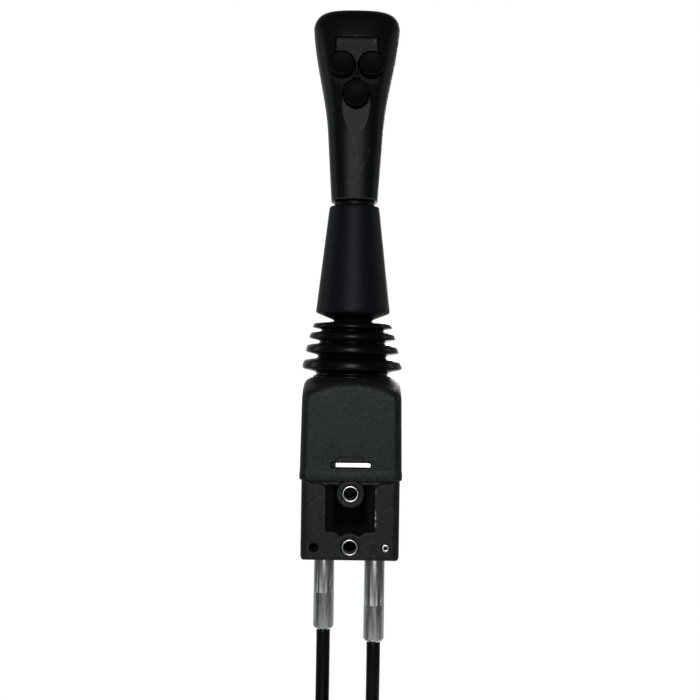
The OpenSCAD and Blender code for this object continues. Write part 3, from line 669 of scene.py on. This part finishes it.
def makeBase(s):
    mesh = rawCopy("base_body")
    bm = bmesh.new()
    bm.from_mesh(mesh)
    cut = bmesh.ops.bisect_plane(bm, geom=bm.verts[:] + bm.edges[:] + bm.faces[:], dist=1e-7,
                                 plane_co=(0, 0, s["cutAbove"] * mm), plane_no=(0, 0, 1),
                                 clear_outer=True)
    rim = [e for e in cut["geom_cut"] if isinstance(e, bmesh.types.BMEdge)]
    bmesh.ops.holes_fill(bm, edges=rim, sides=0)
    bmesh.ops.triangulate(bm, faces=bm.faces)
    bm.to_mesh(mesh)
    bm.free()
    base = addObject("castBase", mesh, "root", finishes["cast"])
    remesh = base.modifiers.new("skin", "REMESH")
    remesh.mode = "VOXEL"
    remesh.voxel_size = s["voxel"] * mm
    remesh.use_smooth_shade = True
    relax = base.modifiers.new("relax", "SMOOTH")
    relax.factor = 0.5
    relax.iterations = s["smoothing"]
    applyModifiers(base)
    base.data.materials.clear()
    base.data.materials.append(finishes["cast"])
    paintedLightAndChipsOfBase(base.data, s)
    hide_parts("base_body")
    return base


castBase = makeBase(baseSettings)
print("base:", len(castBase.data.polygons), "faces")


# ---- cover ----

coverSettings = {
    "half": 31.3, "draft": 0.9, "draftHeight": 55.0, "domeRadius": 68.0, "domeTop": 94.0,
    "opening": 22.0, "corner": 5.5, "edge": 3.2, "foot": 24.8, "wallTop": 52.0,
    "lip": [(0.0, -1.5), (0.0, -0.9), (0.35, -0.35), (0.8, -0.05), (1.3, 0.12), (2.2, 0.2),
            (4.0, 0.2), (5.4, 0.1), (6.5, 0.0)],  # rise from the foot, and how far it stands out
    "collar": [(0.985, 0.15), (0.97, 0.6), (0.97, 3.0), (1.1, 4.0)],  # size and drop, inwards
    "slot": (0.0, 35.0, 12.4, 2.0), "slotCorner": 1.8, "slotEdge": 0.5, "slotDepth": 2.9,
    "reliefs": [[(-9.5, 36.9), (8.2, 36.9), (8.2, 37.8), (6.8, 40.0), (-8.2, 40.0),
                 (-9.5, 38.2)], [(-7.8, 29.4), (6.8, 29.4), (7.2, 33.1), (-8.2, 33.1)]],
    "reliefEdge": 0.7, "reliefDepth": 0.28,
}


def polygonDistance(x, z, outline):
    # signed distance to a polygon, positive inside
    best = np.full(x.shape, 1e9)
    inside = np.zeros(x.shape, bool)
    for (ax, az), (bx, bz) in zip(outline, outline[1:] + outline[:1]):
        ex, ez = bx - ax, bz - az
        t = np.clip(((x - ax) * ex + (z - az) * ez) / (ex * ex + ez * ez), 0, 1)
        best = np.minimum(best, np.hypot(x - ax - t * ex, z - az - t * ez))
        if bz != az:
            inside ^= ((az > z) != (bz > z)) & (x < ax + (z - az) / ez * ex)
    return np.where(inside, best, -best)


def roundedBox(x, z, halfX, halfZ, radius):
    # signed distance to a rounded rectangle, positive inside
    dx, dz = np.abs(x) - halfX + radius, np.abs(z) - halfZ + radius
    outside = np.hypot(np.maximum(dx, 0), np.maximum(dz, 0))
    return -(outside + np.minimum(np.maximum(dx, dz), 0) - radius)


def coverOutline(half, corner, front=150):
    # points round the cover, anticlockwise from the front's left end; fine along the front
    c = half - corner
    centres = [(-90, c, -c - 1), (0, c, c + 1), (90, -c, c + 1), (180, -c, -c - 1)]
    arcs = [[(x + corner * math.cos(math.radians(start + a)),
              y + corner * math.sin(math.radians(start + a))) for a in np.linspace(0, 90, 11)]
            for start, x, y in centres]
    points = [(x, -half - 1) for x in np.linspace(-c, c, front, endpoint=False)] + arcs[0]
    for arc, following in zip(arcs, arcs[1:]):
        (ax, ay), (bx, by) = arc[-1], following[0]
        points += [(ax + (bx - ax) * t, ay + (by - ay) * t) for t in np.linspace(0, 1, 14)[1:-1]]
        points += following
    outline = np.array(points[:-1])
    outline[:, 1] = np.minimum(outline[:, 1], -axisY)  # flat where it meets what it is bolted to
    return outline


def coverRings(s):
    # foot, wall, rounded shoulder, dome and the collar of the opening
    def dome(p):
        return (s["domeTop"] - s["domeRadius"]
                + np.sqrt(s["domeRadius"] ** 2 - p[:, 0] ** 2 - p[:, 1] ** 2))

    rings = []
    shoulder = dome(coverOutline(s["half"], s["corner"])) - s["edge"]
    wall = [(rise, 0.0) for rise in np.arange(7.0, s["wallTop"], 0.5)]
    for rise, grow in s["lip"] + wall:
        half = s["half"] + s["draft"] * (1 - rise / s["draftHeight"]) + grow
        z = np.minimum(s["foot"] + rise, shoulder - 0.02 * (s["wallTop"] - rise))
        rings.append(np.column_stack([coverOutline(half, s["corner"]), z]))
    for a in np.radians(np.linspace(0, 90, 12)):
        inset, drop = s["edge"] * (1 - math.cos(a)), s["edge"] * (1 - math.sin(a))
        p = coverOutline(s["half"] - inset, s["corner"] - inset / 2)
        rings.append(np.column_stack([p, dome(p) - drop]))
    p = coverOutline(s["half"] - s["edge"], s["corner"] - s["edge"] / 2)
    k = (s["opening"] / np.hypot(p[:, 0], p[:, 1]))[:, None]
    for t in np.linspace(0, 1, 16)[1:]:
        q = p + (p * k - p) * t
        rings.append(np.column_stack([q, dome(q)]))
    last = rings[-1]
    for grow, drop in s["collar"]:
        ring = last.copy()
        ring[:, :2] *= grow
        ring[:, 2] -= drop
        rings.append(ring)
    return rings


def makeCoverPiece(s):
    rings = coverRings(s)
    points = np.vstack(rings)
    columns = len(rings[0])
    # slot and faint reliefs, pressed into the front
    front = (points[:, 1] < -s["half"] + 1.2) & (np.abs(points[:, 0]) < 26) & (points[:, 2] < 60)
    x, z = points[front, 0], points[front, 2]
    slotX, slotZ, halfX, halfZ = s["slot"]
    inside = roundedBox(x - slotX, z - slotZ, halfX, halfZ, s["slotCorner"])
    depth = s["slotDepth"] * smooth(inside / s["slotEdge"] + 0.5)
    for outline in s["reliefs"]:
        pressed = smooth(polygonDistance(x, z, outline) / s["reliefEdge"] + 0.5)
        depth = np.maximum(depth, s["reliefDepth"] * pressed)
    points[front, 1] += depth
    points[:, 1] += axisY
    faces = gridFaces(len(rings), columns)
    faces.append(tuple(reversed(range(columns))))
    mesh = meshFrom("housingCover", points, faces)
    fixNormals(mesh)
    mesh.set_sharp_from_angle(angle=math.radians(60))
    cover = addObject("housingCover", mesh, "root", finishes["cover"])
    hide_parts("housing_cover")
    return cover


housingCover = makeCoverPiece(coverSettings)
print("cover:", len(housingCover.data.polygons), "faces")


# ---- Geometry Nodes helper ----

class NodeShape(NodeMaker):
    # builds one Geometry Nodes tree with named inputs
    def __init__(self, name):
        super().__init__(bpy.data.node_groups.new(name, "GeometryNodeTree"))
        self.tree.interface.new_socket(name="Geometry", in_out="OUTPUT",
                                       socket_type="NodeSocketGeometry")
        self.source = None

    def addInput(self, name, value, kind="NodeSocketFloat"):
        socket = self.tree.interface.new_socket(name=name, in_out="INPUT", socket_type=kind)
        socket.default_value = value

    def begin(self):
        self.source = self.tree.nodes.new("NodeGroupInput")

    def given(self, name):
        return self.source.outputs[name]

    def curve(self, source, points):
        made = self.tree.nodes.new("ShaderNodeFloatCurve")
        line = made.mapping.curves[0]
        line.points[0].location = points[0]
        line.points[1].location = points[-1]
        for p in points[1:-1]:
            line.points.new(*p)
        made.mapping.update()
        self.feed(made.inputs["Value"], source)
        return made.outputs[0]

    def rectangle(self, width, height, corner, steps):
        # a closed rectangular line, each corner rounded in that many steps
        line = self.node("GeometryNodeCurvePrimitiveQuadrilateral",
                         {"Width": width, "Height": height})
        return self.node("GeometryNodeFilletCurve",
                         {"Curve": line.outputs[0], "Radius": corner, "Count": steps},
                         mode="POLY").outputs[0]

    def finish(self, geometry, material):
        realized = self.node("GeometryNodeRealizeInstances", {"Geometry": geometry})
        painted = self.node("GeometryNodeSetMaterial",
                            {"Geometry": realized.outputs[0], "Material": material})
        self.node("NodeGroupOutput", {"Geometry": painted.outputs[0]})

    def build(self, name, **values):
        holder = bpy.data.objects.new(name, bpy.data.meshes.new(name))
        scene.collection.objects.link(holder)
        modifier = holder.modifiers.new(self.tree.name, "NODES")
        modifier.node_group = self.tree
        for key, value in values.items():
            modifier[self.tree.interface.items_tree[key].identifier] = value
        applyModifiers(holder)
        return holder


# ---- bellows ----

bellowsSettings = {
    # n folds down, the height has fallen by linear * n + square * n * n
    "topHeight": 125.4, "heightLinear": 5.0, "heightSquare": 0.875,
    "tipRadius": 24.8, "tipGrowth": 2.17, "valleyRadius": 19.4, "valleyGrowth": 1.0,
    "neckInset": 5.6, "lean": 0.01, "around": 144, "rowsPerFold": 34, "wall": 1.3,
    "endFold": 4.16, "meetFold": 3.0, "lowest": 91.5, "highest": 125.0,
    # share of the fold, how far out towards the tip, and how far down
    "fold": [(0.0, 0.0, 0.0), (0.06, 0.03, 0.06), (0.16, 0.2, 0.13), (0.3, 0.7, 0.2),
             (0.385, 0.89, 0.25), (0.445, 0.975, 0.34), (0.5, 1.0, 0.49), (0.56, 0.98, 0.64),
             (0.63, 0.9, 0.73), (0.74, 0.66, 0.79), (0.87, 0.26, 0.87), (0.95, 0.05, 0.94),
             (1.0, 0.0, 1.0)],
}


def bellowsTree(s):
    shape = NodeShape("bellowsFolds")
    add, subtract, multiply = shape.add, shape.subtract, shape.multiply
    for name in ("From Fold", "To Fold"):
        shape.addInput(name, 0.0)
    shape.addInput("Around", s["around"], "NodeSocketInt")
    shape.addInput("Rows", 60, "NodeSocketInt")
    for name, key in (("Top Height", "topHeight"), ("Height Linear", "heightLinear"),
                      ("Height Square", "heightSquare"), ("Tip Radius", "tipRadius"),
                      ("Tip Growth", "tipGrowth"), ("Valley Radius", "valleyRadius"),
                      ("Valley Growth", "valleyGrowth"), ("Neck Inset", "neckInset")):
        shape.addInput(name, s[key] * mm)
    shape.addInput("Lean", s["lean"])
    shape.begin()
    given = shape.given
    grid = shape.node("GeometryNodeMeshGrid", {
        "Size X": 1.0, "Size Y": 1.0, "Vertices X": given("Around"), "Vertices Y": given("Rows")})
    place = shape.node("GeometryNodeInputPosition").outputs[0]
    split = shape.node("ShaderNodeSeparateXYZ", {"Vector": place})
    turn = multiply(add(split.outputs["X"], 0.5), 2 * math.pi)
    share = add(split.outputs["Y"], 0.5)
    fold = subtract(given("To Fold"),
                    multiply(share, subtract(given("To Fold"), given("From Fold"))))
    whole = shape.math("MAXIMUM", shape.math("FLOOR", subtract(fold, 0.00001)), 0.0)
    phase = shape.math("MINIMUM", subtract(fold, whole), 1.0)
    outward = shape.curve(phase, [(at, out) for at, out, down in s["fold"]])
    downward = shape.curve(phase, [(at, down) for at, out, down in s["fold"]])
    stack = add(whole, downward)  # how far down the stack, in folds
    tip = add(given("Tip Radius"), multiply(stack, given("Tip Growth")))
    valley = add(given("Valley Radius"), multiply(stack, given("Valley Growth")))
    neck = shape.math("MAXIMUM", subtract(1.0, multiply(stack, 4.0)), 0.0)
    valley = subtract(valley, multiply(neck, given("Neck Inset")))
    radius = add(valley, multiply(outward, subtract(tip, valley)))
    fall = add(multiply(stack, given("Height Linear")),
               multiply(multiply(stack, stack), given("Height Square")))
    x = multiply(radius, shape.math("COSINE", turn))
    y = multiply(radius, shape.math("SINE", turn))
    # the folds hang a little to one side, most at the middle of the stack
    fromMiddle = shape.math("ABSOLUTE", subtract(shape.math("DIVIDE", stack, 2.0), 1.0))
    free = shape.math("MAXIMUM", subtract(1.0, fromMiddle), 0.0)
    sag = multiply(multiply(x, given("Lean")), free)
    z = subtract(subtract(given("Top Height"), fall), sag)
    joined = shape.node("ShaderNodeCombineXYZ", {"X": x, "Y": add(y, axisY * mm), "Z": z})
    moved = shape.node("GeometryNodeSetPosition",
                       {"Geometry": grid.outputs["Mesh"], "Position": joined.outputs[0]})
    welded = shape.node("GeometryNodeMergeByDistance",
                        {"Geometry": moved.outputs[0], "Distance": 0.00001})
    soft = shape.node("GeometryNodeSetShadeSmooth", {"Geometry": welded.outputs[0]})
    shape.finish(soft.outputs[0], finishes["rubber"])
    return shape


def makeBellows(name, tree, low, high, ends, s):
    rows = int((high - low) * s["rowsPerFold"]) + 1
    piece = tree.build(name, **{"From Fold": low, "To Fold": high, "Rows": rows})
    fixNormals(piece.data)
    # the open skin points outwards before its wall is made
    middle = piece.data.polygons[len(piece.data.polygons) // 2]
    if middle.normal.dot(middle.center - Vector((0, axisY * mm, middle.center.z))) < 0:
        piece.data.flip_normals()
    wall = piece.modifiers.new("wall", "SOLIDIFY")
    wall.thickness = s["wall"] * mm
    wall.offset = -1
    applyModifiers(piece)
    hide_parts("bellows")
    heights = [(0, axisY * mm, z * mm) for z in ends]
    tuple(heights[0])
    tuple(heights[1])
    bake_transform(piece)
    return piece


def makeBothBellows(s):
    # the folds are made as two pieces, the lower and the upper, meeting at the meeting fold
    tree = bellowsTree(s)
    meet = s["meetFold"]
    height = s["topHeight"] - meet * s["heightLinear"] - meet ** 2 * s["heightSquare"]
    lower = makeBellows("lowerBellows", tree, meet, s["endFold"],
                        (s["lowest"], height), s)
    upper = makeBellows("upperBellows", tree, 0.0, meet,
                        (height, s["highest"]), s)
    print("bellows:", len(lower.data.polygons) + len(upper.data.polygons), "faces")


makeBothBellows(bellowsSettings)


# ---- conical shroud ----

shroudSettings = {
    "outside": [(12.5, 121.0), (12.5, 126.0), (12.9, 126.5), (14.2, 127.05), (18.4, 128.75),
                (22.3, 130.3), (23.2, 130.75), (23.85, 131.2), (24.15, 131.85), (24.15, 132.6),
                (23.8, 135.5), (16.55, 198.2), (16.4, 199.3), (16.15, 199.95), (15.7, 200.4),
                (15.0, 200.6), (6.1, 200.6)],
    "inside": [(6.1, 198.0), (13.4, 197.0), (21.0, 134.0), (11.0, 129.0), (11.0, 121.0)],
    "around": 160, "step": 4.0,
}


def refine(profile, step):
    # extra points on the long straight stretches, so that shading stays even
    points = [profile[0]]
    for a, b in zip(profile, profile[1:]):
        count = max(1, int(math.hypot(b[0] - a[0], b[1] - a[1]) / step))
        points += [(a[0] + (b[0] - a[0]) * i / count, a[1] + (b[1] - a[1]) * i / count)
                   for i in range(1, count + 1)]
    return points


def makeShroudPiece(s):
    # turned about the lever's axis: up the outside and down the inside
    profile = refine(s["outside"], s["step"]) + s["inside"]
    around = s["around"]
    turns = [2 * math.pi * j / around for j in range(around)]
    points = [(r * math.cos(a), axisY + r * math.sin(a), z) for r, z in profile for a in turns]
    last = (len(profile) - 1) * around
    faces = gridFaces(len(profile), around)
    faces += [(last + j, last + (j + 1) % around, (j + 1) % around, j) for j in range(around)]
    mesh = meshFrom("leverShroud", points, faces)
    fixNormals(mesh)
    mesh.set_sharp_from_angle(angle=math.radians(50))
    shroud = addObject("leverShroud", mesh, "lever", finishes["shroud"])
    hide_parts("lever_shroud")


makeShroudPiece(shroudSettings)
print("shroud turned")


# ---- hand grip ----

# half width and depths: at the foot, what the rise adds, what the swelling adds, where in the
# rise it starts and how long it takes, then the crown's flat part and its dome
gripForm = {
    "low": 203.8, "wide": 315.0, "top": 325.0, "exponent": 2.7,
    "half": (15.25, 7.0, 5.85, 0.4, 0.6, 19.0, 9.1),
    "front": (17.0, 1.3, 6.2, 0.36, 0.32, 13.0, 9.48),
    "rear": (17.0, 0.0, 2.5, 0.0, 1.0, 10.0, 9.5),
    "leanFrom": 306.0, "leanOver": 9.0, "lean": 0.17, "leanMore": 0.006,
}

# panel, lower and hoodInside are how far they stand before the lever's axis, and a height
gripSettings = {
    "parting": 1.0, "gap": 0.12, "chamfer": 0.35, "footRound": 0.9,
    "frontColumns": 250, "rearColumns": 110, "tilt": 10.0,
    "panel": (22.0, 288.1), "panelHalf": 12.5, "panelSide": 0.35,
    "panelUpper": {"depth": 21.49, "height": 291.0, "slope": 0.03},  # shallower at its top
    "hoodInside": (18.70, 306.81), "hoodLean": 0.2535, "hoodFrom": 296.0, "hoodHalf": 20.0,
    "upperX": 9.5, "pocket": 2.4, "pocketLong": 4.2, "seat": 8.5, "lower": (18.5, 268.9),
    "groove": [(-22.0, 2.6), (-19.5, 5.0), (-14.0, 7.3), (-9.0, 8.5), (-4.0, 8.9), (0.0, 8.9)],
    "grooveRise": 0.1, "grooveFrom": 245.0, "steep": 6.0,
    "hole": 8.3, "holeRim": 8.6, "holeDepth": 3.5, "holeLift": 0.12,
    "screws": [(-10.8, 226.0), (10.8, 226.0), (-16.0, 307.0), (16.0, 307.0)],
    "screwHole": 3.2, "screwRim": 3.5, "screwSeat": 9.1,
    "rubbedWidth": 6.0, "rubbedFrom": 209.0, "rubbedTo": 246.0,
}


def gripProfile(z, key, crown, lean=0.0):
    # one of the form's measures at a height, up the wall and then over the crown
    low, wide = gripForm["low"], gripForm["wide"]
    foot, taper, swell, start, span, flat, dome = gripForm[key]
    rise = (z - low) / (wide - low)
    wall = foot + taper * rise + swell * smooth((rise - start) / span) - lean
    return np.where(z <= wide, wall, flat + dome * np.sqrt(np.clip(crown, 0, 1)))


def crownShare(z):
    return np.clip((z - gripForm["wide"]) / (gripForm["top"] - gripForm["wide"]), 0, 1)


def gripHalfWidth(z):
    return gripProfile(z, "half", 1 - crownShare(z) ** 2)


def gripFront(z):
    f, up = gripForm, crownShare(z)
    back = np.clip(z - f["leanFrom"], 0, f["leanOver"])
    lean = f["lean"] * back + f["leanMore"] * back ** 2
    return gripProfile(z, "front", 1 - 0.6 * up - 0.4 * up ** 3, lean)


def gripRear(z):
    return gripProfile(z, "rear", 1 - crownShare(z) ** 2)


def gripSurface(x, z, deep):
    flat = np.clip(1 - np.abs(x / gripHalfWidth(z)) ** gripForm["exponent"], 0.0001, 1)
    return deep * flat ** (1 / gripForm["exponent"])


def gripHalfRing(z, inset, facing, columns):
    # evenly spaced points from one parting line round to the other
    s = gripSettings
    half = float(gripHalfWidth(z)) - inset
    deep = float(gripFront(z) if facing < 0 else gripRear(z)) - inset
    other = float(gripRear(z) if facing < 0 else gripFront(z)) - inset
    angle = np.linspace(-0.35, math.pi + 0.35, 900)
    power = 2 / gripForm["exponent"]
    x = -half * np.sign(np.cos(angle)) * np.abs(np.cos(angle)) ** power
    y = np.sign(np.sin(angle)) * np.abs(np.sin(angle)) ** power
    y = np.where(y > 0, deep, other) * y * facing
    keep = y * facing >= (s["parting"] + facing * s["gap"]) * facing
    x, y = x[keep], y[keep]
    travelled = np.concatenate([[0], np.cumsum(np.hypot(np.diff(x), np.diff(y)))])
    even = np.linspace(0, travelled[-1], columns)
    x, y = np.interp(even, travelled, x), np.interp(even, travelled, y)
    x[[0, -1]] *= 1 - s["chamfer"] / half  # at the parting line
    return np.column_stack([x, y, np.full(columns, z)])


def gripRows(facing, columns):
    low, wide, top = gripForm["low"], gripForm["wide"], gripForm["top"]
    foot = gripSettings["footRound"]
    rows = [gripHalfRing(low + foot * (1 - math.cos(a)), foot * (1 - math.sin(a)), facing, columns)
            for a in np.radians(np.linspace(0, 90, 6))]
    if facing < 0:
        # closer where the panel, its seats and the hood's lip are
        heights = [np.arange(low + 1.5, 246, 0.8), np.arange(246, 304.6, 0.32),
                   np.arange(304.6, 306.8, 0.11), np.arange(306.8, wide, 0.6)]
    else:
        heights = [np.arange(low + 1.5, wide, 0.5)]
    rows += [gripHalfRing(z, 0, facing, columns) for z in np.concatenate(heights)]
    rows += [gripHalfRing(wide + (top - wide) * math.sin(a), 0, facing, columns)
             for a in np.radians(np.linspace(0, 90, 30))]
    return rows


def snapToCircles(points, area, centres, radii, reach, squash):
    # pulls the grid's points onto circles, so that round edges stay round
    x, z = points[:, 0].copy(), points[:, 2].copy()
    for centreX, centreZ in centres:
        dx, dz = x - centreX, (z - centreZ) / squash
        for radius in radii:
            distance = np.hypot(dx, dz)
            near = area & (np.abs(distance - radius) < reach)
            scale = np.where(near, radius / np.maximum(distance, 0.01), 1.0)
            dx, dz = dx * scale, dz * scale
        x, z = centreX + dx, centreZ + dz * squash
    return x, z


def softMax(a, b, width):
    share = np.clip(0.5 + 0.5 * (a - b) / width, 0, 1)
    return b + (a - b) * share + width * share * (1 - share)


def sink(surface, floor, inside, width):
    # a flat floor inside an outline and steep walls outside it
    return softMax(surface, floor - gripSettings["steep"] * np.maximum(-inside, 0), width)


def frontFeatures(points):
    # panel under the hood, finger pockets, button holes and the groove under the lower button
    s = gripSettings
    tilt = math.radians(s["tilt"])
    slope, up, lean = math.tan(tilt), math.cos(tilt), math.sin(tilt)
    lower = s["lower"]
    upper = (s["panel"][0] - s["pocket"] * up, s["panel"][1] - s["pocket"] * lean)
    holes = [((side * s["upperX"], upper[1] + s["holeLift"]), upper) for side in (-1, 1)]
    holes.append(((0, lower[1] + s["holeLift"]), lower))
    area = (points[:, 1] < -4) & (points[:, 2] > 240) & (points[:, 2] < 312)
    x, z = snapToCircles(points, area, [centre for centre, place in holes],
                         (s["hole"], s["holeRim"]), 0.16, up)
    surface = np.where(area, -gripSurface(x, z, gripFront(z)), points[:, 1])

    # the recess goes up behind the hood's lip, so its points slide up as they go in
    flat = s["panelUpper"]
    lip = s["hoodInside"][1] + s["hoodLean"] * (surface + s["hoodInside"][0])
    sides = s["panelSide"] * np.maximum(np.abs(x) - s["panelHalf"], 0) ** 2
    near = smooth((z - s["hoodFrom"]) / 6) * (np.abs(x) < s["hoodHalf"])
    floor = np.minimum(-s["panel"][0] + slope * (z - s["panel"][1]),
                       -flat["depth"] + flat["slope"] * (z - flat["height"]))
    result = softMax(surface, floor - sides - 45 * np.maximum(z - lip, 0), 0.2)
    lifted = np.maximum(result - surface, 0) * s["hoodLean"] * near
    z = np.where(area, z + lifted, z)
    result = np.where(lifted > 0, result + slope * lifted, result)

    pocketFloor = -upper[0] + slope * (z - upper[1])
    for side in (-1, 1):
        rim = (z - lean * np.maximum(pocketFloor - result, 0) - upper[1]) / up
        inside = s["seat"] - np.hypot(x - side * s["upperX"],
                                      rim - np.clip(rim, -s["pocketLong"], 0))
        result = sink(result, pocketFloor, inside, 0.18)

    lowerFloor = -lower[0] + slope * (z - lower[1])
    along = (z - lean * np.maximum(lowerFloor - surface, 0) - lower[1]) / up
    inside = s["seat"] - np.hypot(x, along)
    result = sink(result, lowerFloor, inside, 0.18)
    # painted highlight, with polish: a light line round the top of the lower button's seat and
    # along the groove's edges
    edge = 0.75 * np.exp(-((inside + 0.2) / 0.3) ** 2) * (along > 3)

    width = np.interp(along, *zip(*s["groove"]))
    groove = np.where((along < 0.4) & (along > s["groove"][0][0]), width - np.abs(x), -9)
    grooveFloor = 1 - lower[0] - s["grooveRise"] * (z - lower[1] + 21)
    grooveFloor = surface + (grooveFloor - surface) * smooth((z - s["grooveFrom"]) / 7)
    result = sink(result, grooveFloor, groove, 0.12)
    edge += np.exp(-((groove + 0.12) / 0.25) ** 2) * smooth((-5 - along) / 2)

    for centre, place in holes:
        distance = np.hypot(x - centre[0], (z - centre[1]) / up)
        base = -place[0] + slope * (z - place[1]) + s["holeDepth"]
        share = np.clip((s["holeRim"] - distance) / (s["holeRim"] - s["hole"]), 0, 1)
        result = result + (base - result) * share
        z = z - slope * s["holeDepth"] * share
    sunk = smooth((result - surface - 0.15) / 0.5) * smooth((z - 272) / 2)
    shaped = np.where(area[:, None], np.column_stack([x, result, z]), points)
    return shaped, np.where(area, np.clip(edge, 0, 1), 0), np.where(area, sunk, 0)


def rearFeatures(points):
    # counterbores for the four screws
    s = gripSettings
    area = (points[:, 1] > 6) & (points[:, 2] < 313)
    radii = (s["screwHole"], s["screwRim"])
    x, z = snapToCircles(points, area, s["screws"], radii, 0.26, 1.0)
    y = gripSurface(x, z, gripRear(z))
    for centre in s["screws"]:
        distance = np.hypot(x - centre[0], z - centre[1])
        share = np.clip((s["screwRim"] - distance) / (s["screwRim"] - s["screwHole"]), 0, 1)
        y = y + (s["screwSeat"] - y) * share
    none = np.zeros(len(x))
    return np.where(area[:, None], np.column_stack([x, y, z]), points), none, none


def makeGripShell(name, facing, columns, node):
    s = gripSettings
    rows = gripRows(facing, columns)
    features = frontFeatures if facing < 0 else rearFeatures
    points, edge, sunk = features(np.vstack(rows))
    high = points[:, 2]
    # a light line round the grip's foot: polish plus painted highlight
    rim = np.exp(-((high - gripForm["low"] - 0.5) / 0.35) ** 2)
    edge = np.clip(edge + 0.8 * rim, 0, 1)
    # rubbed down the middle below the buttons, and a painted sheen at the top of the panel
    middle = 0.9 * np.exp(-(points[:, 0] / s["rubbedWidth"]) ** 2)
    middle *= smooth((s["rubbedTo"] - high) / 8)
    middle *= 0.25 + 0.75 * smooth((high - s["rubbedFrom"]) / 10)
    # painted sheen: the top of the sunk panel is lightened where light falls on it
    scuffsAndSheen = middle + sunk * smooth((high - 297) / 5) if facing < 0 else 0.1
    scuffsAndSheen = np.clip(scuffsAndSheen + 0.04 + 0.1 * edge, 0, 1)
    points[:, 1] += axisY
    faces = gridFaces(len(rows), columns)
    faces.append(tuple(range(columns)))
    faces.append(tuple(range((len(rows) - 1) * columns, len(rows) * columns)))
    mesh = meshFrom(name, points, faces)
    addAttribute(mesh, "edge", edge)
    addAttribute(mesh, "scuffsAndSheen", scuffsAndSheen)
    fixNormals(mesh)
    mesh.set_sharp_from_angle(angle=math.radians(48))
    shell = addObject(name, mesh, "lever", finishes["grip"])
    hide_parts(node)
    print(name + ":", len(mesh.polygons), "faces")


makeGripShell("gripFront", -1, gripSettings["frontColumns"], "grip_front_shell")
makeGripShell("gripRear", 1, gripSettings["rearColumns"], "grip_rear_shell")


# ---- coil ties ----

tieSettings = {"band": 4.6, "thick": 1.5, "corner": 4.0, "head": (7.0, 5.0, 4.4),
               "slack": (0.8, 0.6), "reach": 2.0, "looseness": 0.3, "edge": 0.3}


def tieTree(s):
    # a closed strap with its corners cut off, and its locking head on one side
    shape = NodeShape("coilTie")
    given = shape.given
    for name, value in (("Width", 0.03), ("Height", 0.03), ("Corner", s["corner"] * mm),
                        ("Band", s["band"] * mm), ("Thickness", s["thick"] * mm)):
        shape.addInput(name, value)
    for name in ("Place", "Turn"):
        shape.addInput(name, (0, 0, 0), "NodeSocketVector")
    shape.begin()
    line = shape.rectangle(given("Width"), given("Height"), given("Corner"), 1)
    section = shape.rectangle(given("Thickness"), given("Band"), 0.0005, 3)
    strap = shape.node("GeometryNodeCurveToMesh", {"Curve": line, "Profile Curve": section})
    block = shape.node("GeometryNodeMeshCube", {"Size": tuple(v * mm for v in s["head"])})
    upwards = shape.node("ShaderNodeCombineXYZ", {"Y": shape.multiply(given("Height"), 0.5)})
    seated = shape.node("GeometryNodeTransform",
                        {"Geometry": block.outputs[0], "Translation": upwards.outputs[0]})
    both = shape.node("GeometryNodeJoinGeometry")
    for part in (strap, seated):
        shape.feed(both.inputs[0], part.outputs[0])
    turned = shape.node("GeometryNodeTransform", {
        "Geometry": both.outputs[0], "Translation": given("Place"), "Rotation": given("Turn")})
    shape.finish(turned.outputs[0], finishes["tie"])
    return shape


def tiePlaces(s, cable):
    # one tie at each coil's outer side and one where the two coils cross; sizes in millimetres
    d = cable["diameter"]
    centreX = cable["outerRadius"] - cable["x"]
    inner, outer = cable["outerRadius"] - 1.5 * d, cable["outerRadius"] + 0.5 * d
    plane = axisY - cable["forward"]
    deep, (wideSlack, deepSlack) = 3 * d, s["slack"]
    places = []
    for side in (-1, 1):
        x = -side * (centreX + (inner + outer) / 2)
        places.append((outer - inner + wideSlack, deep + deepSlack,
                       (x, plane + side * (cable["gap"] + deep / 2), cable["coilHeight"]), 0.0))
    low = math.sqrt(inner ** 2 - (centreX + s["reach"]) ** 2) - s["looseness"]
    high = math.sqrt(outer ** 2 - (centreX - s["reach"]) ** 2) + s["looseness"]
    places.append((high - low, 2 * (deep + deepSlack),
                   (0.0, plane, cable["coilHeight"] - (low + high) / 2), math.pi / 2))
    return places


def makeTies(s, cable):
    shape = tieTree(s)
    bm = bmesh.new()
    for width, height, place, turn in tiePlaces(s, cable):
        piece = shape.build("tie", **{
            "Width": (width + s["thick"]) * mm, "Height": (height + s["thick"]) * mm,
            "Place": tuple(v * mm for v in place), "Turn": (0.0, turn, 0.0)})
        bm.from_mesh(piece.data)
        bpy.data.objects.remove(piece)
    mesh = meshOf("coilTies", bm)
    shadeSmooth(mesh)
    ties = addObject("coilTies", mesh, "root", finishes["tie"])
    easeEdges(ties, s["edge"], 60)
    fixNormals(ties.data)
    ties.data.set_sharp_from_angle(angle=math.radians(35))
    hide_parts("coil_ties")
    return ties


coilTies = makeTies(tieSettings, cableSettings)
print("ties:", len(coilTies.data.polygons), "faces")
